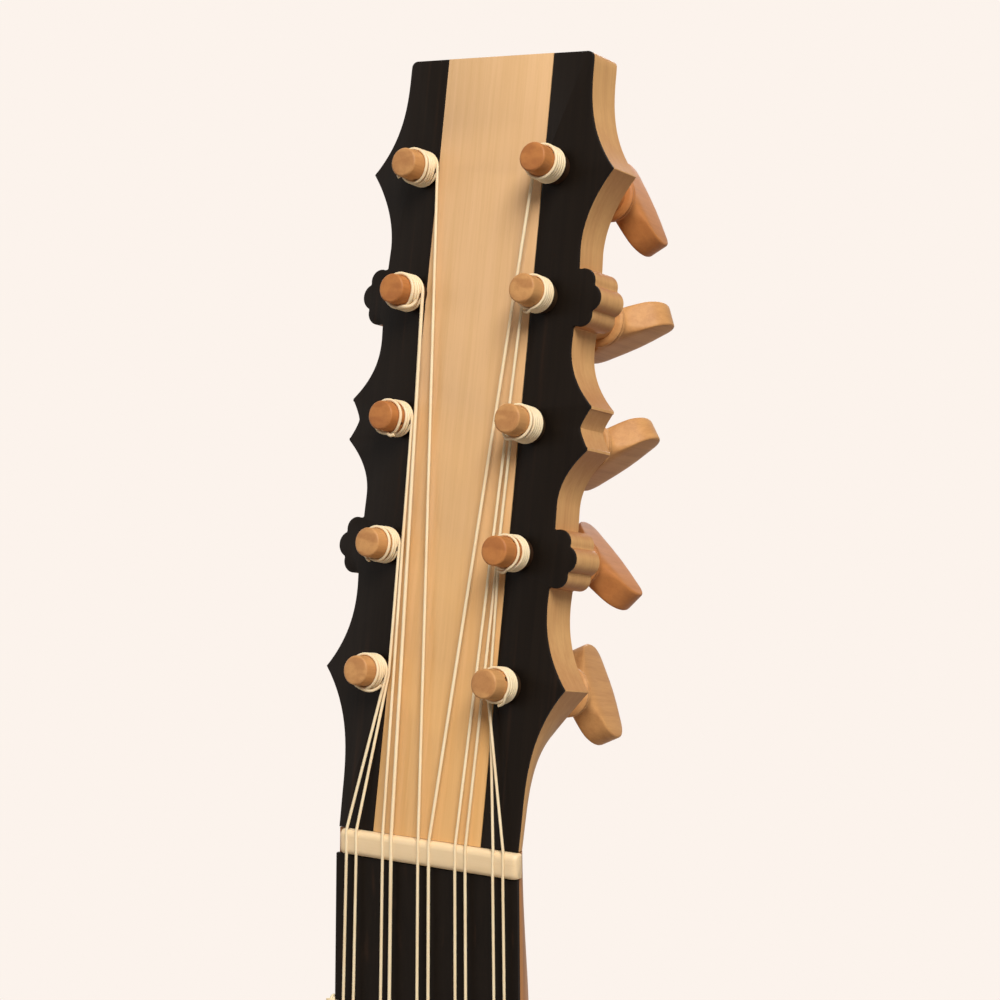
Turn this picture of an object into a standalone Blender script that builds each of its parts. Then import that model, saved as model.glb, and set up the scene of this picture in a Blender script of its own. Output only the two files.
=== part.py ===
"""A five-course baroque guitar, held upright, in metres with +Z up.

The origin is on the centre line at the nut, in the plane of the head's face. The head leans
back above it, the strings run down to the bridge below it, and the soundboard faces -Y.
Lengths below are in millimetres. mm() turns them into metres.
"""

import math

import bmesh
import bpy
from mathutils import Euler, Matrix, Vector

# Clearances
GLUE_GAP = 0.15
SEAT_GAP = 0.3
LINING_GAP = 1.0
PEG_CLEARANCE = 0.25
STRING_CLEARANCE = 0.3

# Head
HEAD_TILT = 9.35
HEAD_LENGTH = 186.5
HEAD_THICKNESS = 10.8
VENEER_THICKNESS = 0.8
HEAD_HALF_AT_NUT = 25.6
HEAD_HALF_AT_TOP = 26.1
HEAD_WAIST_HALF = 27.2
HEAD_CUSP_HALF = 34.2
HEAD_NOTCH_HALF = 31.6
HEAD_CORNER_RADIUS = 1.6
STRIP_HALF_AT_NUT = 15.4
STRIP_HALF_AT_TOP = 15.0

# Pegs
PEG_FIRST_ROW = 37.8
PEG_ROW_PITCH = 30.4
PEG_COLUMN = 18.7
PEG_TIP_RADIUS = 3.5
PEG_TAPER = 1.0 / 40.0
PEG_SIDES = 12
PEG_TIP_LENGTH = 9.8
COLLAR_DEPTH = 25.5
COLLAR_RADIUS = 6.2
COLLAR_LENGTH = 3.2
PADDLE_HALF_WIDTH = 12.2
PADDLE_LENGTH = 15.4
PADDLE_HALF_THICKNESS = 3.3
PADDLE_EDGE = 0.8
PADDLE_SWELL = 0.3
PEG_HOLE_RADIUS = 0.8
# Each peg's turn about its own axis, from the lowest row up
TREBLE_PEG_TURNS = (-64, -44, 35, 24, -58)
BASS_PEG_TURNS = (48, -20, 62, -35, 15)
# How far each peg leans up the head at its tip, in degrees, from the lowest row up
TREBLE_PEG_LEANS = (0.8, -0.4, 3.4, 3.7, 3.5)
BASS_PEG_LEANS = (0.0, 0.0, 0.0, 0.0, 0.0)
# How much further than the usual length each peg stands out, from the lowest row up
TREBLE_PEG_RISES = (0.2, 1.1, 1.0, 0.1, 0.8)
BASS_PEG_RISES = (-0.8, -0.4, -0.8, -0.2, -0.1)

# Nut and fingerboard
NUT_WIDTH = 6.0
NUT_CENTRE = 1.2
NUT_HALF_LENGTH = 25.4
NUT_RISE = 1.35
FACE_RISE = 0.6
FINGERBOARD_THICKNESS = 1.2
FINGERBOARD_HALF_AT_NUT = 26.0
FINGERBOARD_HALF_AT_BODY = 30.5
NECK_LENGTH = 310.0
NECK_DEPTH = 18.0
NECK_DEPTH_AT_HEEL = 22.5
VOLUTE_LENGTH = 42.0
HEAD_ROUNDING_LENGTH = 38.0
HEEL_LENGTH = 46.0

# Body
BODY_LENGTH = 450.0
BODY_DEPTH_AT_NECK = 80.0
BODY_DEPTH_AT_TAIL = 92.0
SOUNDBOARD_THICKNESS = 2.0
BACK_THICKNESS = 2.2
RIB_THICKNESS = 2.0
# Half width of the body, and how far along its length that width lies
BODY_STATIONS = (
    (31.0, 0.0), (62.0, 0.02), (87.0, 0.08), (99.5, 0.169), (101.0, 0.249), (93.5, 0.356),
    (87.5, 0.444), (92.0, 0.54), (107.0, 0.64), (120.5, 0.733), (123.5, 0.813),
    (113.5, 0.9), (86.0, 0.962), (46.0, 0.993),
)
STATION_STEPS = 3
BLOCK_HALF_WIDTH = 29.0
BLOCK_THICKNESS = 18.0
LINING_WIDTH = 5.0
LINING_DEPTH = 7.0
BAR_WIDTH = 6.0
SOUNDBOARD_BAR_HEIGHT = 13.0
BACK_BAR_HEIGHT = 11.0
SOUNDBOARD_BAR_PLACES = (92.0, 222.0, 252.0)
BACK_BAR_PLACES = (98.0, 215.0, 335.0)
BUTTON_RADIUS = 8.0
BUTTON_LENGTH = 13.0
BUTTON_SHANK_RADIUS = 3.2
BUTTON_SHANK_LENGTH = 15.0

# Rose
ROSE_PLACE = 157.0
ROSE_HOLE_RADIUS = 41.5
ROSE_RADIUS = 46.0
ROSE_THICKNESS = 1.2

# Bridge and strings
STRING_LENGTH = 650.0
BRIDGE_HALF_LENGTH = 56.0
BRIDGE_WIDTH = 22.0
BRIDGE_HEIGHT = 9.5
BRIDGE_CROWN_LENGTH = 10.0
TIE_BLOCK_LENGTH = 11.6
BRIDGE_SLOPE_LENGTH = 1.9
STRING_RISE_AT_BRIDGE = 6.2
STRING_RISE_AT_NUT = 1.3
MOUSTACHE_REACH = 92.0
MOUSTACHE_THICKNESS = 1.4
# Distance from the centre line at the nut, and radius, of the strings from left to right
STRING_PLACES = (-21.9, -19.0, -11.2, -8.7, -0.9, 2.2, 9.7, 12.6, 20.3, 23.1)
STRING_RADII = (0.42, 0.40, 0.42, 0.55, 0.42, 0.46, 0.40, 0.42, 0.38, 0.38)
BRIDGE_SPREAD = 1.68
WINDING_TURNS = 3.0
WINDING_POINTS = 14
WINDING_STEP_GAP = 0.5
TAIL_LENGTH = 3.4
# Height over the face at which a winding starts on the two lowest rows, and on the others
WINDING_START_LOW = 2.5
WINDING_START = 1.3
# Height at which a string passes beside the peg or the winding below its own
PASS_BY_PEG = 1.05
PASS_BY_WINDING = 1.6

# Tied frets
FRET_COUNT = 8
FRET_RADIUS = 0.36
FRET_LIFT = 0.2
FRET_OVERLAP_STEP = 1.5

TILT = math.radians(HEAD_TILT)
FACE_Y = -FACE_RISE
GLUE_PLANE_Y = FACE_Y + FINGERBOARD_THICKNESS
BODY_TOP_Z = -NECK_LENGTH
WINDING_ROOT = PEG_TIP_RADIUS + PEG_TIP_LENGTH * PEG_TAPER + STRING_CLEARANCE
PEG_ROWS = [PEG_FIRST_ROW + PEG_ROW_PITCH * row for row in range(5)]


def mm(*values):
    """A vector in metres from millimetres."""
    return Vector(values) * 0.001


def smooth(share):
    """Ease a share from 0 to 1."""
    share = min(max(share, 0.0), 1.0)
    return share * share * (3.0 - 2.0 * share)


def clear_scene():
    for item in list(bpy.data.objects):
        bpy.data.objects.remove(item)


def material(name, colour, roughness, metallic=0.0):
    made = bpy.data.materials.new(name)
    made.use_nodes = True
    shader = made.node_tree.nodes["Principled BSDF"]
    shader.inputs["Base Color"].default_value = (*colour, 1.0)
    shader.inputs["Roughness"].default_value = roughness
    shader.inputs["Metallic"].default_value = metallic
    return made


def add_object(name, data, finish, parent=None):
    """Link a new object that carries the named finish."""
    data.materials.append(finish)
    made = bpy.data.objects.new(name, data)
    made.parent = parent
    bpy.context.scene.collection.objects.link(made)
    return made


def mesh_from(name, shape):
    """Turn a bmesh into a mesh whose faces point out and whose round sides are smooth."""
    bmesh.ops.recalc_face_normals(shape, faces=shape.faces)
    mesh = bpy.data.meshes.new(name)
    shape.to_mesh(mesh)
    shape.free()
    mesh.shade_smooth()
    mesh.set_sharp_from_angle(angle=math.radians(32))
    return mesh


def loft(name, rings):
    """Bridge a row of rings, each a list of points in mm, and close both ends."""
    shape = bmesh.new()
    loops = [[shape.verts.new(mm(*point)) for point in ring] for ring in rings]
    count = len(loops[0])
    for lower, upper in zip(loops, loops[1:]):
        for i in range(count):
            j = (i + 1) % count
            shape.faces.new((lower[i], lower[j], upper[j], upper[i]))
    shape.faces.new(loops[0])
    shape.faces.new(loops[-1])
    return mesh_from(name, shape)


def plate(name, front, back):
    """A plate between two outlines that have the same number of points."""
    return loft(name, [front, back])


def box(name, low, high):
    """A plain block between two corners."""
    (x0, y0, z0), (x1, y1, z1) = low, high
    front = [(x0, y0, z0), (x1, y0, z0), (x1, y0, z1), (x0, y0, z1)]
    back = [(x, y1, z) for x, _, z in front]
    return plate(name, front, back)


def soften(item, width, segments=2):
    """Round an object's sharp edges."""
    bevel = item.modifiers.new("edge_rounding", "BEVEL")
    bevel.width = width * 0.001
    bevel.segments = segments
    bevel.limit_method = "ANGLE"
    bevel.angle_limit = math.radians(40)


def cylinders(name, places, sides, parent=None):
    """A hidden cutter of cones: each place is (base, top, base radius, top radius)."""
    shape = bmesh.new()
    for base, top, base_radius, top_radius in places:
        start = mm(*base)
        run = mm(*top) - start
        turn = run.to_track_quat("Z", "Y").to_matrix().to_4x4()
        bmesh.ops.create_cone(
            shape,
            cap_ends=True,
            segments=sides,
            radius1=base_radius * 0.001,
            radius2=top_radius * 0.001,
            depth=run.length,
            matrix=Matrix.Translation(start + run * 0.5) @ turn,
        )
    cutter = bpy.data.objects.new(name, mesh_from(name, shape))
    cutter.parent = parent
    cutter.hide_render = True
    cutter.display_type = "WIRE"
    bpy.context.scene.collection.objects.link(cutter)
    return cutter


def cut(item, cutter):
    boolean = item.modifiers.new("cut", "BOOLEAN")
    boolean.operation = "DIFFERENCE"
    boolean.solver = "EXACT"
    boolean.object = cutter


def tube(name, points, radius, finish, sides_step=1):
    """A round cord along points in mm, with closed ends."""
    data = bpy.data.curves.new(name, "CURVE")
    data.dimensions = "3D"
    data.resolution_u = 1
    data.render_resolution_u = 0
    data.bevel_depth = radius * 0.001
    data.bevel_resolution = sides_step
    data.use_fill_caps = True
    spline = data.splines.new("POLY")
    spline.points.add(len(points) - 1)
    for slot, point in zip(spline.points, points):
        slot.co = (*mm(*point), 1.0)
    return add_object(name, data, finish)


def peg_lean(side, row):
    return math.radians((TREBLE_PEG_LEANS if side > 0 else BASS_PEG_LEANS)[row])


def peg_centre(side, row, w):
    """Where a peg's leaning axis passes height w over the head's face, as (u, v)."""
    drop = (PEG_TIP_LENGTH - w) * math.tan(peg_lean(side, row))
    return (side * PEG_COLUMN, PEG_ROWS[row] - drop)


# Head outline, in the plane of the head's face: u across, v up the head


def flank(waist, tip, power, steps=5):
    """A hollow flank that sweeps from a waist out to the point of a cusp."""
    points = []
    for i in range(steps + 1):
        s = i / steps
        points.append((waist[0] + (tip[0] - waist[0]) * s ** power, waist[1] + (tip[1] - waist[1]) * s))
    return points


def cusp(low_waist, high_waist, row, low_power, high_power):
    """A pointed cusp beside one peg, with its tip taken off by a hair."""
    tip = (HEAD_CUSP_HALF, row)
    rising = flank(low_waist, tip, low_power)[:-1]
    falling = flank(high_waist, tip, high_power)[:-1]
    blunt = [(tip[0] - 0.25, row - 0.3), (tip[0] - 0.25, row + 0.3)]
    return rising + blunt + falling[::-1]


def double_cusp(low_waist, high_waist, row):
    """Two cusps with a notch between them, beside the middle peg."""
    reach = 5.0
    low_tip = (HEAD_CUSP_HALF, row - reach)
    high_tip = (HEAD_CUSP_HALF, row + reach)
    notch = (HEAD_NOTCH_HALF, row)
    points = flank(low_waist, low_tip, 2.1)[:-1]
    points += [(low_tip[0] - 0.15, low_tip[1] - 0.1), (low_tip[0] - 0.15, low_tip[1] + 0.5)]
    points += flank(notch, low_tip, 1.3, 3)[2:0:-1]
    points += flank(notch, high_tip, 1.3, 3)[:3]
    points += [(high_tip[0] - 0.15, high_tip[1] - 0.5), (high_tip[0] - 0.15, high_tip[1] + 0.1)]
    points += flank(high_waist, high_tip, 2.3)[-2::-1]
    return points


def three_lobes(row):
    """Three round lobes beside one peg, the middle one proud of the others."""
    side_lobe, middle_lobe = (29.1, 3.9, 2.9), (30.75, 0.0, 3.2)
    quarter = [(HEAD_WAIST_HALF + 0.15, 6.95)]
    for lobe, turns in ((side_lobe, (108, 82, 54, 28, 4)), (middle_lobe, (58, 36, 12))):
        centre, place, radius = lobe
        for turn in turns:
            angle = math.radians(turn)
            quarter.append((centre + radius * math.cos(angle), place + radius * math.sin(angle)))
    # The notch where the two lobes meet
    quarter.insert(6, (31.75, 3.05))
    lower = [(u, row - v) for u, v in quarter]
    return lower + [(u, row + v) for u, v in reversed(quarter)]


def head_edge():
    """The treble edge of the head from the nut up to the middle of the top."""
    row = PEG_ROWS
    waist = HEAD_WAIST_HALF
    points = [(HEAD_HALF_AT_NUT, 0.0)]
    points += cusp((HEAD_HALF_AT_NUT + 0.1, row[0] - 30.0), (waist, row[0] + 20.0), row[0] + 0.2, 2.9, 2.3)
    points += three_lobes(row[1] - 0.4)
    points += double_cusp((waist, row[1] + 12.0), (waist, row[3] - 11.0), row[2] - 0.4)
    points += three_lobes(row[3] - 0.6)
    top_waist = (HEAD_HALF_AT_TOP, HEAD_LENGTH - 2.5)
    points += cusp((waist - 0.1, row[3] + 11.5), top_waist, row[4] - 0.8, 1.95, 2.8)
    centre = (HEAD_HALF_AT_TOP - HEAD_CORNER_RADIUS, HEAD_LENGTH - HEAD_CORNER_RADIUS)
    for i in range(1, 4):
        turn = math.radians(30 * i)
        points.append((
            centre[0] + HEAD_CORNER_RADIUS * math.cos(turn),
            centre[1] + HEAD_CORNER_RADIUS * math.sin(turn),
        ))
    return points


def seat_on_nut(outline, w):
    """Lift the points at v = 0 so that the end lies level with the top of the nut."""
    lift = (GLUE_GAP - w * math.sin(TILT)) / math.cos(TILT)
    return [(u, max(v, lift), w) for u, v in outline]


def head_plate(name, outline, front, back):
    """A plate with the given outline, from w = front to w = back."""
    return plate(name, seat_on_nut(outline, front), seat_on_nut(outline, back))


def strip_half(v):
    share = v / HEAD_LENGTH
    return STRIP_HALF_AT_NUT + (STRIP_HALF_AT_TOP - STRIP_HALF_AT_NUT) * share


def head_world(u, v, w):
    """A point of the head, in the guitar's own axes, in mm."""
    y = v * math.sin(TILT) - w * math.cos(TILT)
    z = v * math.cos(TILT) + w * math.sin(TILT)
    return (u, y, z)


def head_core_rings(outline):
    """The core's outline at four depths, rounded in toward the neck at its lower end."""
    front = -VENEER_THICKNESS - GLUE_GAP
    rings = []
    for depth in (0.0, 0.5, 0.82, 1.0):
        ring = []
        for u, v in outline:
            rounding = 0.9 * (1.0 - smooth(v / HEAD_ROUNDING_LENGTH))
            ring.append((u * math.sqrt(1.0 - rounding * depth ** 2), v))
        rings.append(seat_on_nut(ring, front + (-HEAD_THICKNESS - front) * depth))
    return rings


def build_head(finishes, head_frame):
    edge = head_edge()
    mirrored = [(-u, v) for u, v in reversed(edge)]
    core = add_object(
        "head_core",
        loft("head_core", head_core_rings(edge + mirrored)),
        finishes["pale"],
        head_frame,
    )
    inner_low = strip_half(0.0) + GLUE_GAP
    inner_high = strip_half(HEAD_LENGTH) + GLUE_GAP
    border = edge + [(inner_high, HEAD_LENGTH), (inner_low, 0.0)]
    treble = add_object(
        "head_veneer_treble",
        head_plate("head_veneer_treble", border, 0.0, -VENEER_THICKNESS),
        finishes["ebony"],
        head_frame,
    )
    other = [(-u, v) for u, v in reversed(border)]
    bass = add_object(
        "head_veneer_bass",
        head_plate("head_veneer_bass", other, 0.0, -VENEER_THICKNESS),
        finishes["ebony"],
        head_frame,
    )
    low, high = strip_half(0.0), strip_half(HEAD_LENGTH)
    strip = [(low, 0.0), (high, HEAD_LENGTH), (-high, HEAD_LENGTH), (-low, 0.0)]
    centre_strip = add_object(
        "head_centre_strip",
        head_plate("head_centre_strip", strip, 0.0, -VENEER_THICKNESS),
        finishes["pale"],
        head_frame,
    )
    places = []
    for side in (-1, 1):
        for row in range(5):
            front, back = 2.0, -HEAD_THICKNESS - 2.0
            places.append((
                (*peg_centre(side, row, front), front),
                (*peg_centre(side, row, back), back),
                peg_radius(front) + PEG_CLEARANCE,
                peg_radius(back) + PEG_CLEARANCE,
            ))
    bores = cylinders("peg_bores", places, PEG_SIDES, head_frame)
    for item in (core, treble, bass, centre_strip):
        cut(item, bores)


# Pegs


def peg_radius(w):
    """Radius of the tapered shaft at height w over the head's face."""
    return PEG_TIP_RADIUS + (PEG_TIP_LENGTH - w) * PEG_TAPER


def round_ring(radius, w):
    """A circle of PEG_SIDES points at height w."""
    turns = [2 * math.pi * i / PEG_SIDES for i in range(PEG_SIDES)]
    return [(radius * math.cos(turn), radius * math.sin(turn), w) for turn in turns]


def paddle_ring(across, through, w):
    """A rectangle with its corners taken off, of PEG_SIDES points, at height w."""
    edge = min(PADDLE_EDGE, 0.4 * across, 0.4 * through)
    corner = [(across, 0.0), (across, through - edge), (across - edge, through)]
    half = corner + [(0.0, through + PADDLE_SWELL)] + [(-x, y) for x, y in reversed(corner)]
    ring = half + [(-x, -y) for x, y in half[1:-1]]
    return [(x, y, w) for x, y in ring]


def peg_mesh():
    """A turned shaft and collar that widens into a thumb piece, with its string hole."""
    shoulder = COLLAR_DEPTH + COLLAR_LENGTH
    rings = [
        round_ring(PEG_TIP_RADIUS - 0.3, PEG_TIP_LENGTH),
        round_ring(PEG_TIP_RADIUS, PEG_TIP_LENGTH - 0.3),
        round_ring(peg_radius(-COLLAR_DEPTH), -COLLAR_DEPTH),
        round_ring(COLLAR_RADIUS - 0.6, -COLLAR_DEPTH - 0.1),
        round_ring(COLLAR_RADIUS, -COLLAR_DEPTH - COLLAR_LENGTH * 0.4),
        round_ring(COLLAR_RADIUS - 0.5, -COLLAR_DEPTH - COLLAR_LENGTH * 0.85),
        round_ring(PADDLE_HALF_THICKNESS + 0.7, -shoulder),
    ]
    for share, width, thickness in (
        (0.13, 0.40, 1.04), (0.25, 0.60, 1.06), (0.36, 0.82, 1.02), (0.49, 0.95, 0.98),
        (0.64, 1.0, 0.93), (0.80, 0.96, 0.87), (0.92, 0.80, 0.78), (1.0, 0.52, 0.64),
    ):
        rings.append(paddle_ring(
            PADDLE_HALF_WIDTH * width,
            PADDLE_HALF_THICKNESS * thickness,
            -shoulder - PADDLE_LENGTH * share,
        ))
    blank = bpy.data.objects.new("peg_blank", loft("peg_blank", rings))
    bpy.context.scene.collection.objects.link(blank)
    reach = PEG_TIP_RADIUS + 2.0
    hole_height = PEG_TIP_LENGTH - TAIL_LENGTH
    drill = cylinders(
        "peg_drill",
        [((0, -reach, hole_height), (0, reach, hole_height), PEG_HOLE_RADIUS, PEG_HOLE_RADIUS)],
        8,
    )
    cut(blank, drill)
    bpy.context.view_layer.update()
    drilled = blank.evaluated_get(bpy.context.evaluated_depsgraph_get())
    mesh = bpy.data.meshes.new_from_object(drilled)
    mesh.name = "peg"
    bpy.data.objects.remove(blank)
    bpy.data.objects.remove(drill)
    return mesh


def build_pegs(finishes, head_frame):
    mesh = peg_mesh()
    mesh.materials.append(finishes["peg"])
    for side, label, turns, rises in (
        (-1, "bass", BASS_PEG_TURNS, BASS_PEG_RISES),
        (1, "treble", TREBLE_PEG_TURNS, TREBLE_PEG_RISES),
    ):
        for row, turn in enumerate(turns):
            peg = bpy.data.objects.new(f"peg_{label}_{row + 1}", mesh)
            peg.parent = head_frame
            lean = Matrix.Rotation(-peg_lean(side, row), 4, "X")
            place = mm(*peg_centre(side, row, 0.0), 0.0) + lean @ mm(0.0, 0.0, rises[row])
            spin = Matrix.Rotation(math.radians(turn), 4, "Z")
            peg.matrix_basis = Matrix.Translation(place) @ lean @ spin
            bpy.context.scene.collection.objects.link(peg)


# Neck, fingerboard, nut and frets


def neck_half(z):
    """Half width of the fingerboard and neck at height z."""
    share = -z / NECK_LENGTH
    return FINGERBOARD_HALF_AT_NUT + (FINGERBOARD_HALF_AT_BODY - FINGERBOARD_HALF_AT_NUT) * share


def neck_depth(z):
    """Distance of the neck's back from the glue plane at height z."""
    head_depth = HEAD_THICKNESS / math.cos(TILT) - GLUE_PLANE_Y
    along = NECK_DEPTH + (NECK_DEPTH_AT_HEEL - NECK_DEPTH) * (-z / NECK_LENGTH) - FINGERBOARD_THICKNESS
    rise = head_depth + (along - head_depth) * smooth(-z / VOLUTE_LENGTH)
    heel_share = 1.0 - (NECK_LENGTH + z) / HEEL_LENGTH
    heel_depth = BODY_DEPTH_AT_NECK - FINGERBOARD_THICKNESS - BACK_THICKNESS
    if heel_share > 0.0:
        rise += (heel_depth - rise) * heel_share ** 2.6
    return rise


def neck_section(z, points=16):
    """The neck's outline at height z: a flat top and a rounded back."""
    half = neck_half(z) - 0.2
    depth = neck_depth(z)
    power = 2.0 + 0.2 * smooth((-z - VOLUTE_LENGTH) / VOLUTE_LENGTH)
    top = GLUE_PLANE_Y + GLUE_GAP
    ring = []
    for i in range(points + 1):
        turn = math.pi * i / points
        across = math.copysign(abs(math.cos(turn)) ** (2.0 / power), math.cos(turn))
        through = math.sin(turn) ** (2.0 / power)
        ring.append((half * across, top + depth * through, z))
    return ring


def build_neck(finishes):
    heights = [-GLUE_GAP] + [-VOLUTE_LENGTH * share for share in (0.19, 0.38, 0.57, 0.76, 1.0)]
    heights.append(-NECK_LENGTH / 2)
    heel_top = -NECK_LENGTH + HEEL_LENGTH
    heights += [heel_top - HEEL_LENGTH * s for s in (0.0, 0.2, 0.4, 0.58, 0.74, 0.88)]
    heights.append(-NECK_LENGTH + SEAT_GAP)
    add_object("neck", loft("neck", [neck_section(z) for z in heights]), finishes["neck"])
    high, low = -NUT_WIDTH - GLUE_GAP, -NECK_LENGTH + SEAT_GAP
    front = [
        (-neck_half(high), FACE_Y, high), (neck_half(high), FACE_Y, high),
        (neck_half(low), FACE_Y, low), (-neck_half(low), FACE_Y, low),
    ]
    back = [(x, GLUE_PLANE_Y, z) for x, _, z in front]
    board = add_object("fingerboard", plate("fingerboard", front, back), finishes["ebony"])
    soften(board, 0.2, 1)


def string_at_nut(i):
    return (STRING_PLACES[i], FACE_Y - STRING_RISE_AT_NUT)


def build_nut(finishes):
    top = FACE_Y - NUT_RISE
    profile = [
        (GLUE_PLANE_Y, 0.0), (top + 1.3, 0.0), (top + 0.7, -0.25), (top + 0.2, -0.95),
        (top, -1.9), (top, -4.6), (top + 0.25, -5.5), (top + 0.9, -NUT_WIDTH),
        (GLUE_PLANE_Y, -NUT_WIDTH),
    ]
    rings = []
    for x, shrink in (
        (-NUT_HALF_LENGTH, 1.1), (-NUT_HALF_LENGTH + 0.4, 0.4), (-NUT_HALF_LENGTH + 1.4, 0.0),
        (NUT_HALF_LENGTH - 1.4, 0.0), (NUT_HALF_LENGTH - 0.4, 0.4), (NUT_HALF_LENGTH, 1.1),
    ):
        middle = -NUT_WIDTH / 2
        ring = []
        for y, z in profile:
            drop = shrink if y < GLUE_PLANE_Y else 0.0
            pull = 1.0 - shrink * 0.12
            ring.append((NUT_CENTRE + x, y + drop * 0.8, middle + (z - middle) * pull))
        rings.append(ring)
    nut = add_object("nut", loft("nut", rings), finishes["bone"])
    slots = []
    for i in range(len(STRING_PLACES)):
        x, y = string_at_nut(i)
        radius = STRING_RADII[i] + STRING_CLEARANCE
        slots.append(((x, y, 3.0), (x, y, -NUT_WIDTH - 3.0), radius, radius))
    cut(nut, cylinders("nut_slots", slots, 8))


def build_frets(finishes):
    """Gut frets tied round the neck, their ends side by side on the bass edge."""
    lift = FRET_RADIUS + FRET_LIFT
    for n in range(1, FRET_COUNT + 1):
        z = -NUT_WIDTH - STRING_LENGTH * (1.0 - 2.0 ** (-n / 12.0))
        half = neck_half(z)
        front_y = FACE_Y - lift
        # The neck deepens towards its heel, so the fret clears the deepest section that it crosses
        section = neck_section(z - FRET_OVERLAP_STEP - FRET_RADIUS, 8)
        centre_y = GLUE_PLANE_Y
        around = []
        for x, y, _ in section:
            out = Vector((x, (y - centre_y) * half / neck_depth(z))).normalized() * (lift + 0.4)
            around.append((x + out.x, y + out.y))
        corner = half + lift
        loop = [(-corner * 0.985, centre_y - 0.6), (-corner, FACE_Y + 0.3), (-half + 0.4, front_y)]
        loop += [(half - 0.4, front_y), (corner, FACE_Y + 0.3)]
        loop += around[:-1]
        loop += [(-corner - 0.1, centre_y + 0.8), (-corner - 0.1, FACE_Y + 0.9)]
        count = len(loop)
        points = []
        for i, (x, y) in enumerate(loop):
            step = FRET_OVERLAP_STEP * smooth((i - count + 6) / 5.0)
            points.append((x, y, z - step))
        tube(f"fret_{n}", points, FRET_RADIUS, finishes["gut"], 0)


# Body


def body_points():
    """The treble outline of the body from the neck round to the tail, as (x, z)."""
    stations = [(half, share * BODY_LENGTH) for half, share in BODY_STATIONS]
    nodes = [(-stations[0][0], 0.0)] + stations
    nodes += [(0.0, BODY_LENGTH), (-stations[-1][0], stations[-1][1])]
    points = [(0.0, 0.0)]
    for i in range(1, len(nodes) - 2):
        before, start, end, after = (Vector(node) for node in nodes[i - 1:i + 3])
        if i == 1:
            before = Vector((start.x - 40.0, 0.0))
        for k in range(STATION_STEPS):
            t = k / STATION_STEPS
            spot = 0.5 * (
                2.0 * start
                + (end - before) * t
                + (2.0 * before - 5.0 * start + 4.0 * end - after) * t ** 2
                + (3.0 * start - before - 3.0 * end + after) * t ** 3
            )
            points.append((spot.x, spot.y))
    points.append((0.0, BODY_LENGTH))
    return [(x, BODY_TOP_Z - along) for x, along in points]


def inset(points, distance):
    """The same outline moved inward, its two ends kept on the centre line."""
    moved = []
    last = len(points) - 1
    for i, (x, z) in enumerate(points):
        before = points[max(i - 1, 0)]
        after = points[min(i + 1, last)]
        run = Vector((after[0] - before[0], after[1] - before[1])).normalized()
        across = Vector((-run.y, run.x))
        if i in (0, last):
            across = Vector((0.0, 1.0 if i == 0 else -1.0))
        moved.append((x - across.x * distance, z - across.y * distance))
    return moved


def back_y(z):
    """Depth of the outer face of the back at height z."""
    share = (BODY_TOP_Z - z) / BODY_LENGTH
    return FACE_Y + BODY_DEPTH_AT_NECK + (BODY_DEPTH_AT_TAIL - BODY_DEPTH_AT_NECK) * share


def rib_front():
    return FACE_Y + SOUNDBOARD_THICKNESS + GLUE_GAP


def rib_back(z):
    return back_y(z) - BACK_THICKNESS - GLUE_GAP


def strip_between(name, outer, inner, front, back):
    """A bent strip whose section runs from front(z) to back(z)."""
    rings = []
    for (xo, zo), (xi, zi) in zip(outer, inner):
        rings.append([
            (xo, front(zo), zo), (xi, front(zi), zi), (xi, back(zi), zi), (xo, back(zo), zo),
        ])
    return loft(name, rings)


def halved(points, gap):
    """Keep an outline off the centre line by half the gap."""
    return [(max(x, gap / 2), z) for x, z in points]


def mirror_points(points, side):
    return [(side * x, z) for x, z in points]


def build_ribs(finishes, button_bore):
    outline = halved(body_points(), SEAT_GAP)
    inner = halved(inset(body_points(), RIB_THICKNESS), SEAT_GAP)
    for side, label in ((-1, "bass"), (1, "treble")):
        mesh = strip_between(
            f"rib_{label}",
            mirror_points(outline, side),
            mirror_points(inner, side),
            lambda z: rib_front(),
            rib_back,
        )
        rib = add_object(f"rib_{label}", mesh, finishes["rib"])
        cut(rib, button_bore)


def build_linings(finishes):
    """Strips that carry the soundboard and the back round the inside of the ribs."""
    wall = RIB_THICKNESS + LINING_GAP
    outer = inset(body_points(), wall)
    inner = inset(body_points(), wall + LINING_WIDTH)
    clear = BLOCK_HALF_WIDTH + SEAT_GAP
    keep = [i for i, (x, z) in enumerate(inner) if x > clear + 1.0]
    keep = keep[:-1:2] + keep[-1:]
    edges = (
        ("soundboard", lambda z: rib_front(), lambda z: rib_front() + LINING_DEPTH),
        ("back", lambda z: rib_back(z) - LINING_DEPTH, rib_back),
    )
    for side, label in ((-1, "bass"), (1, "treble")):
        for place, front, back in edges:
            name = f"lining_{place}_{label}"
            mesh = strip_between(
                name,
                mirror_points([outer[i] for i in keep], side),
                mirror_points([inner[i] for i in keep], side),
                front,
                back,
            )
            add_object(name, mesh, finishes["spruce"])


def inner_half_width(z):
    """Half width inside the linings at height z, less a clearance."""
    inner = inset(body_points(), RIB_THICKNESS + LINING_GAP + LINING_WIDTH)
    half = min(x for x, spot in inner if abs(spot - z) < 22.0 and x > BLOCK_HALF_WIDTH)
    return half - 2.0 * SEAT_GAP


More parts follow.
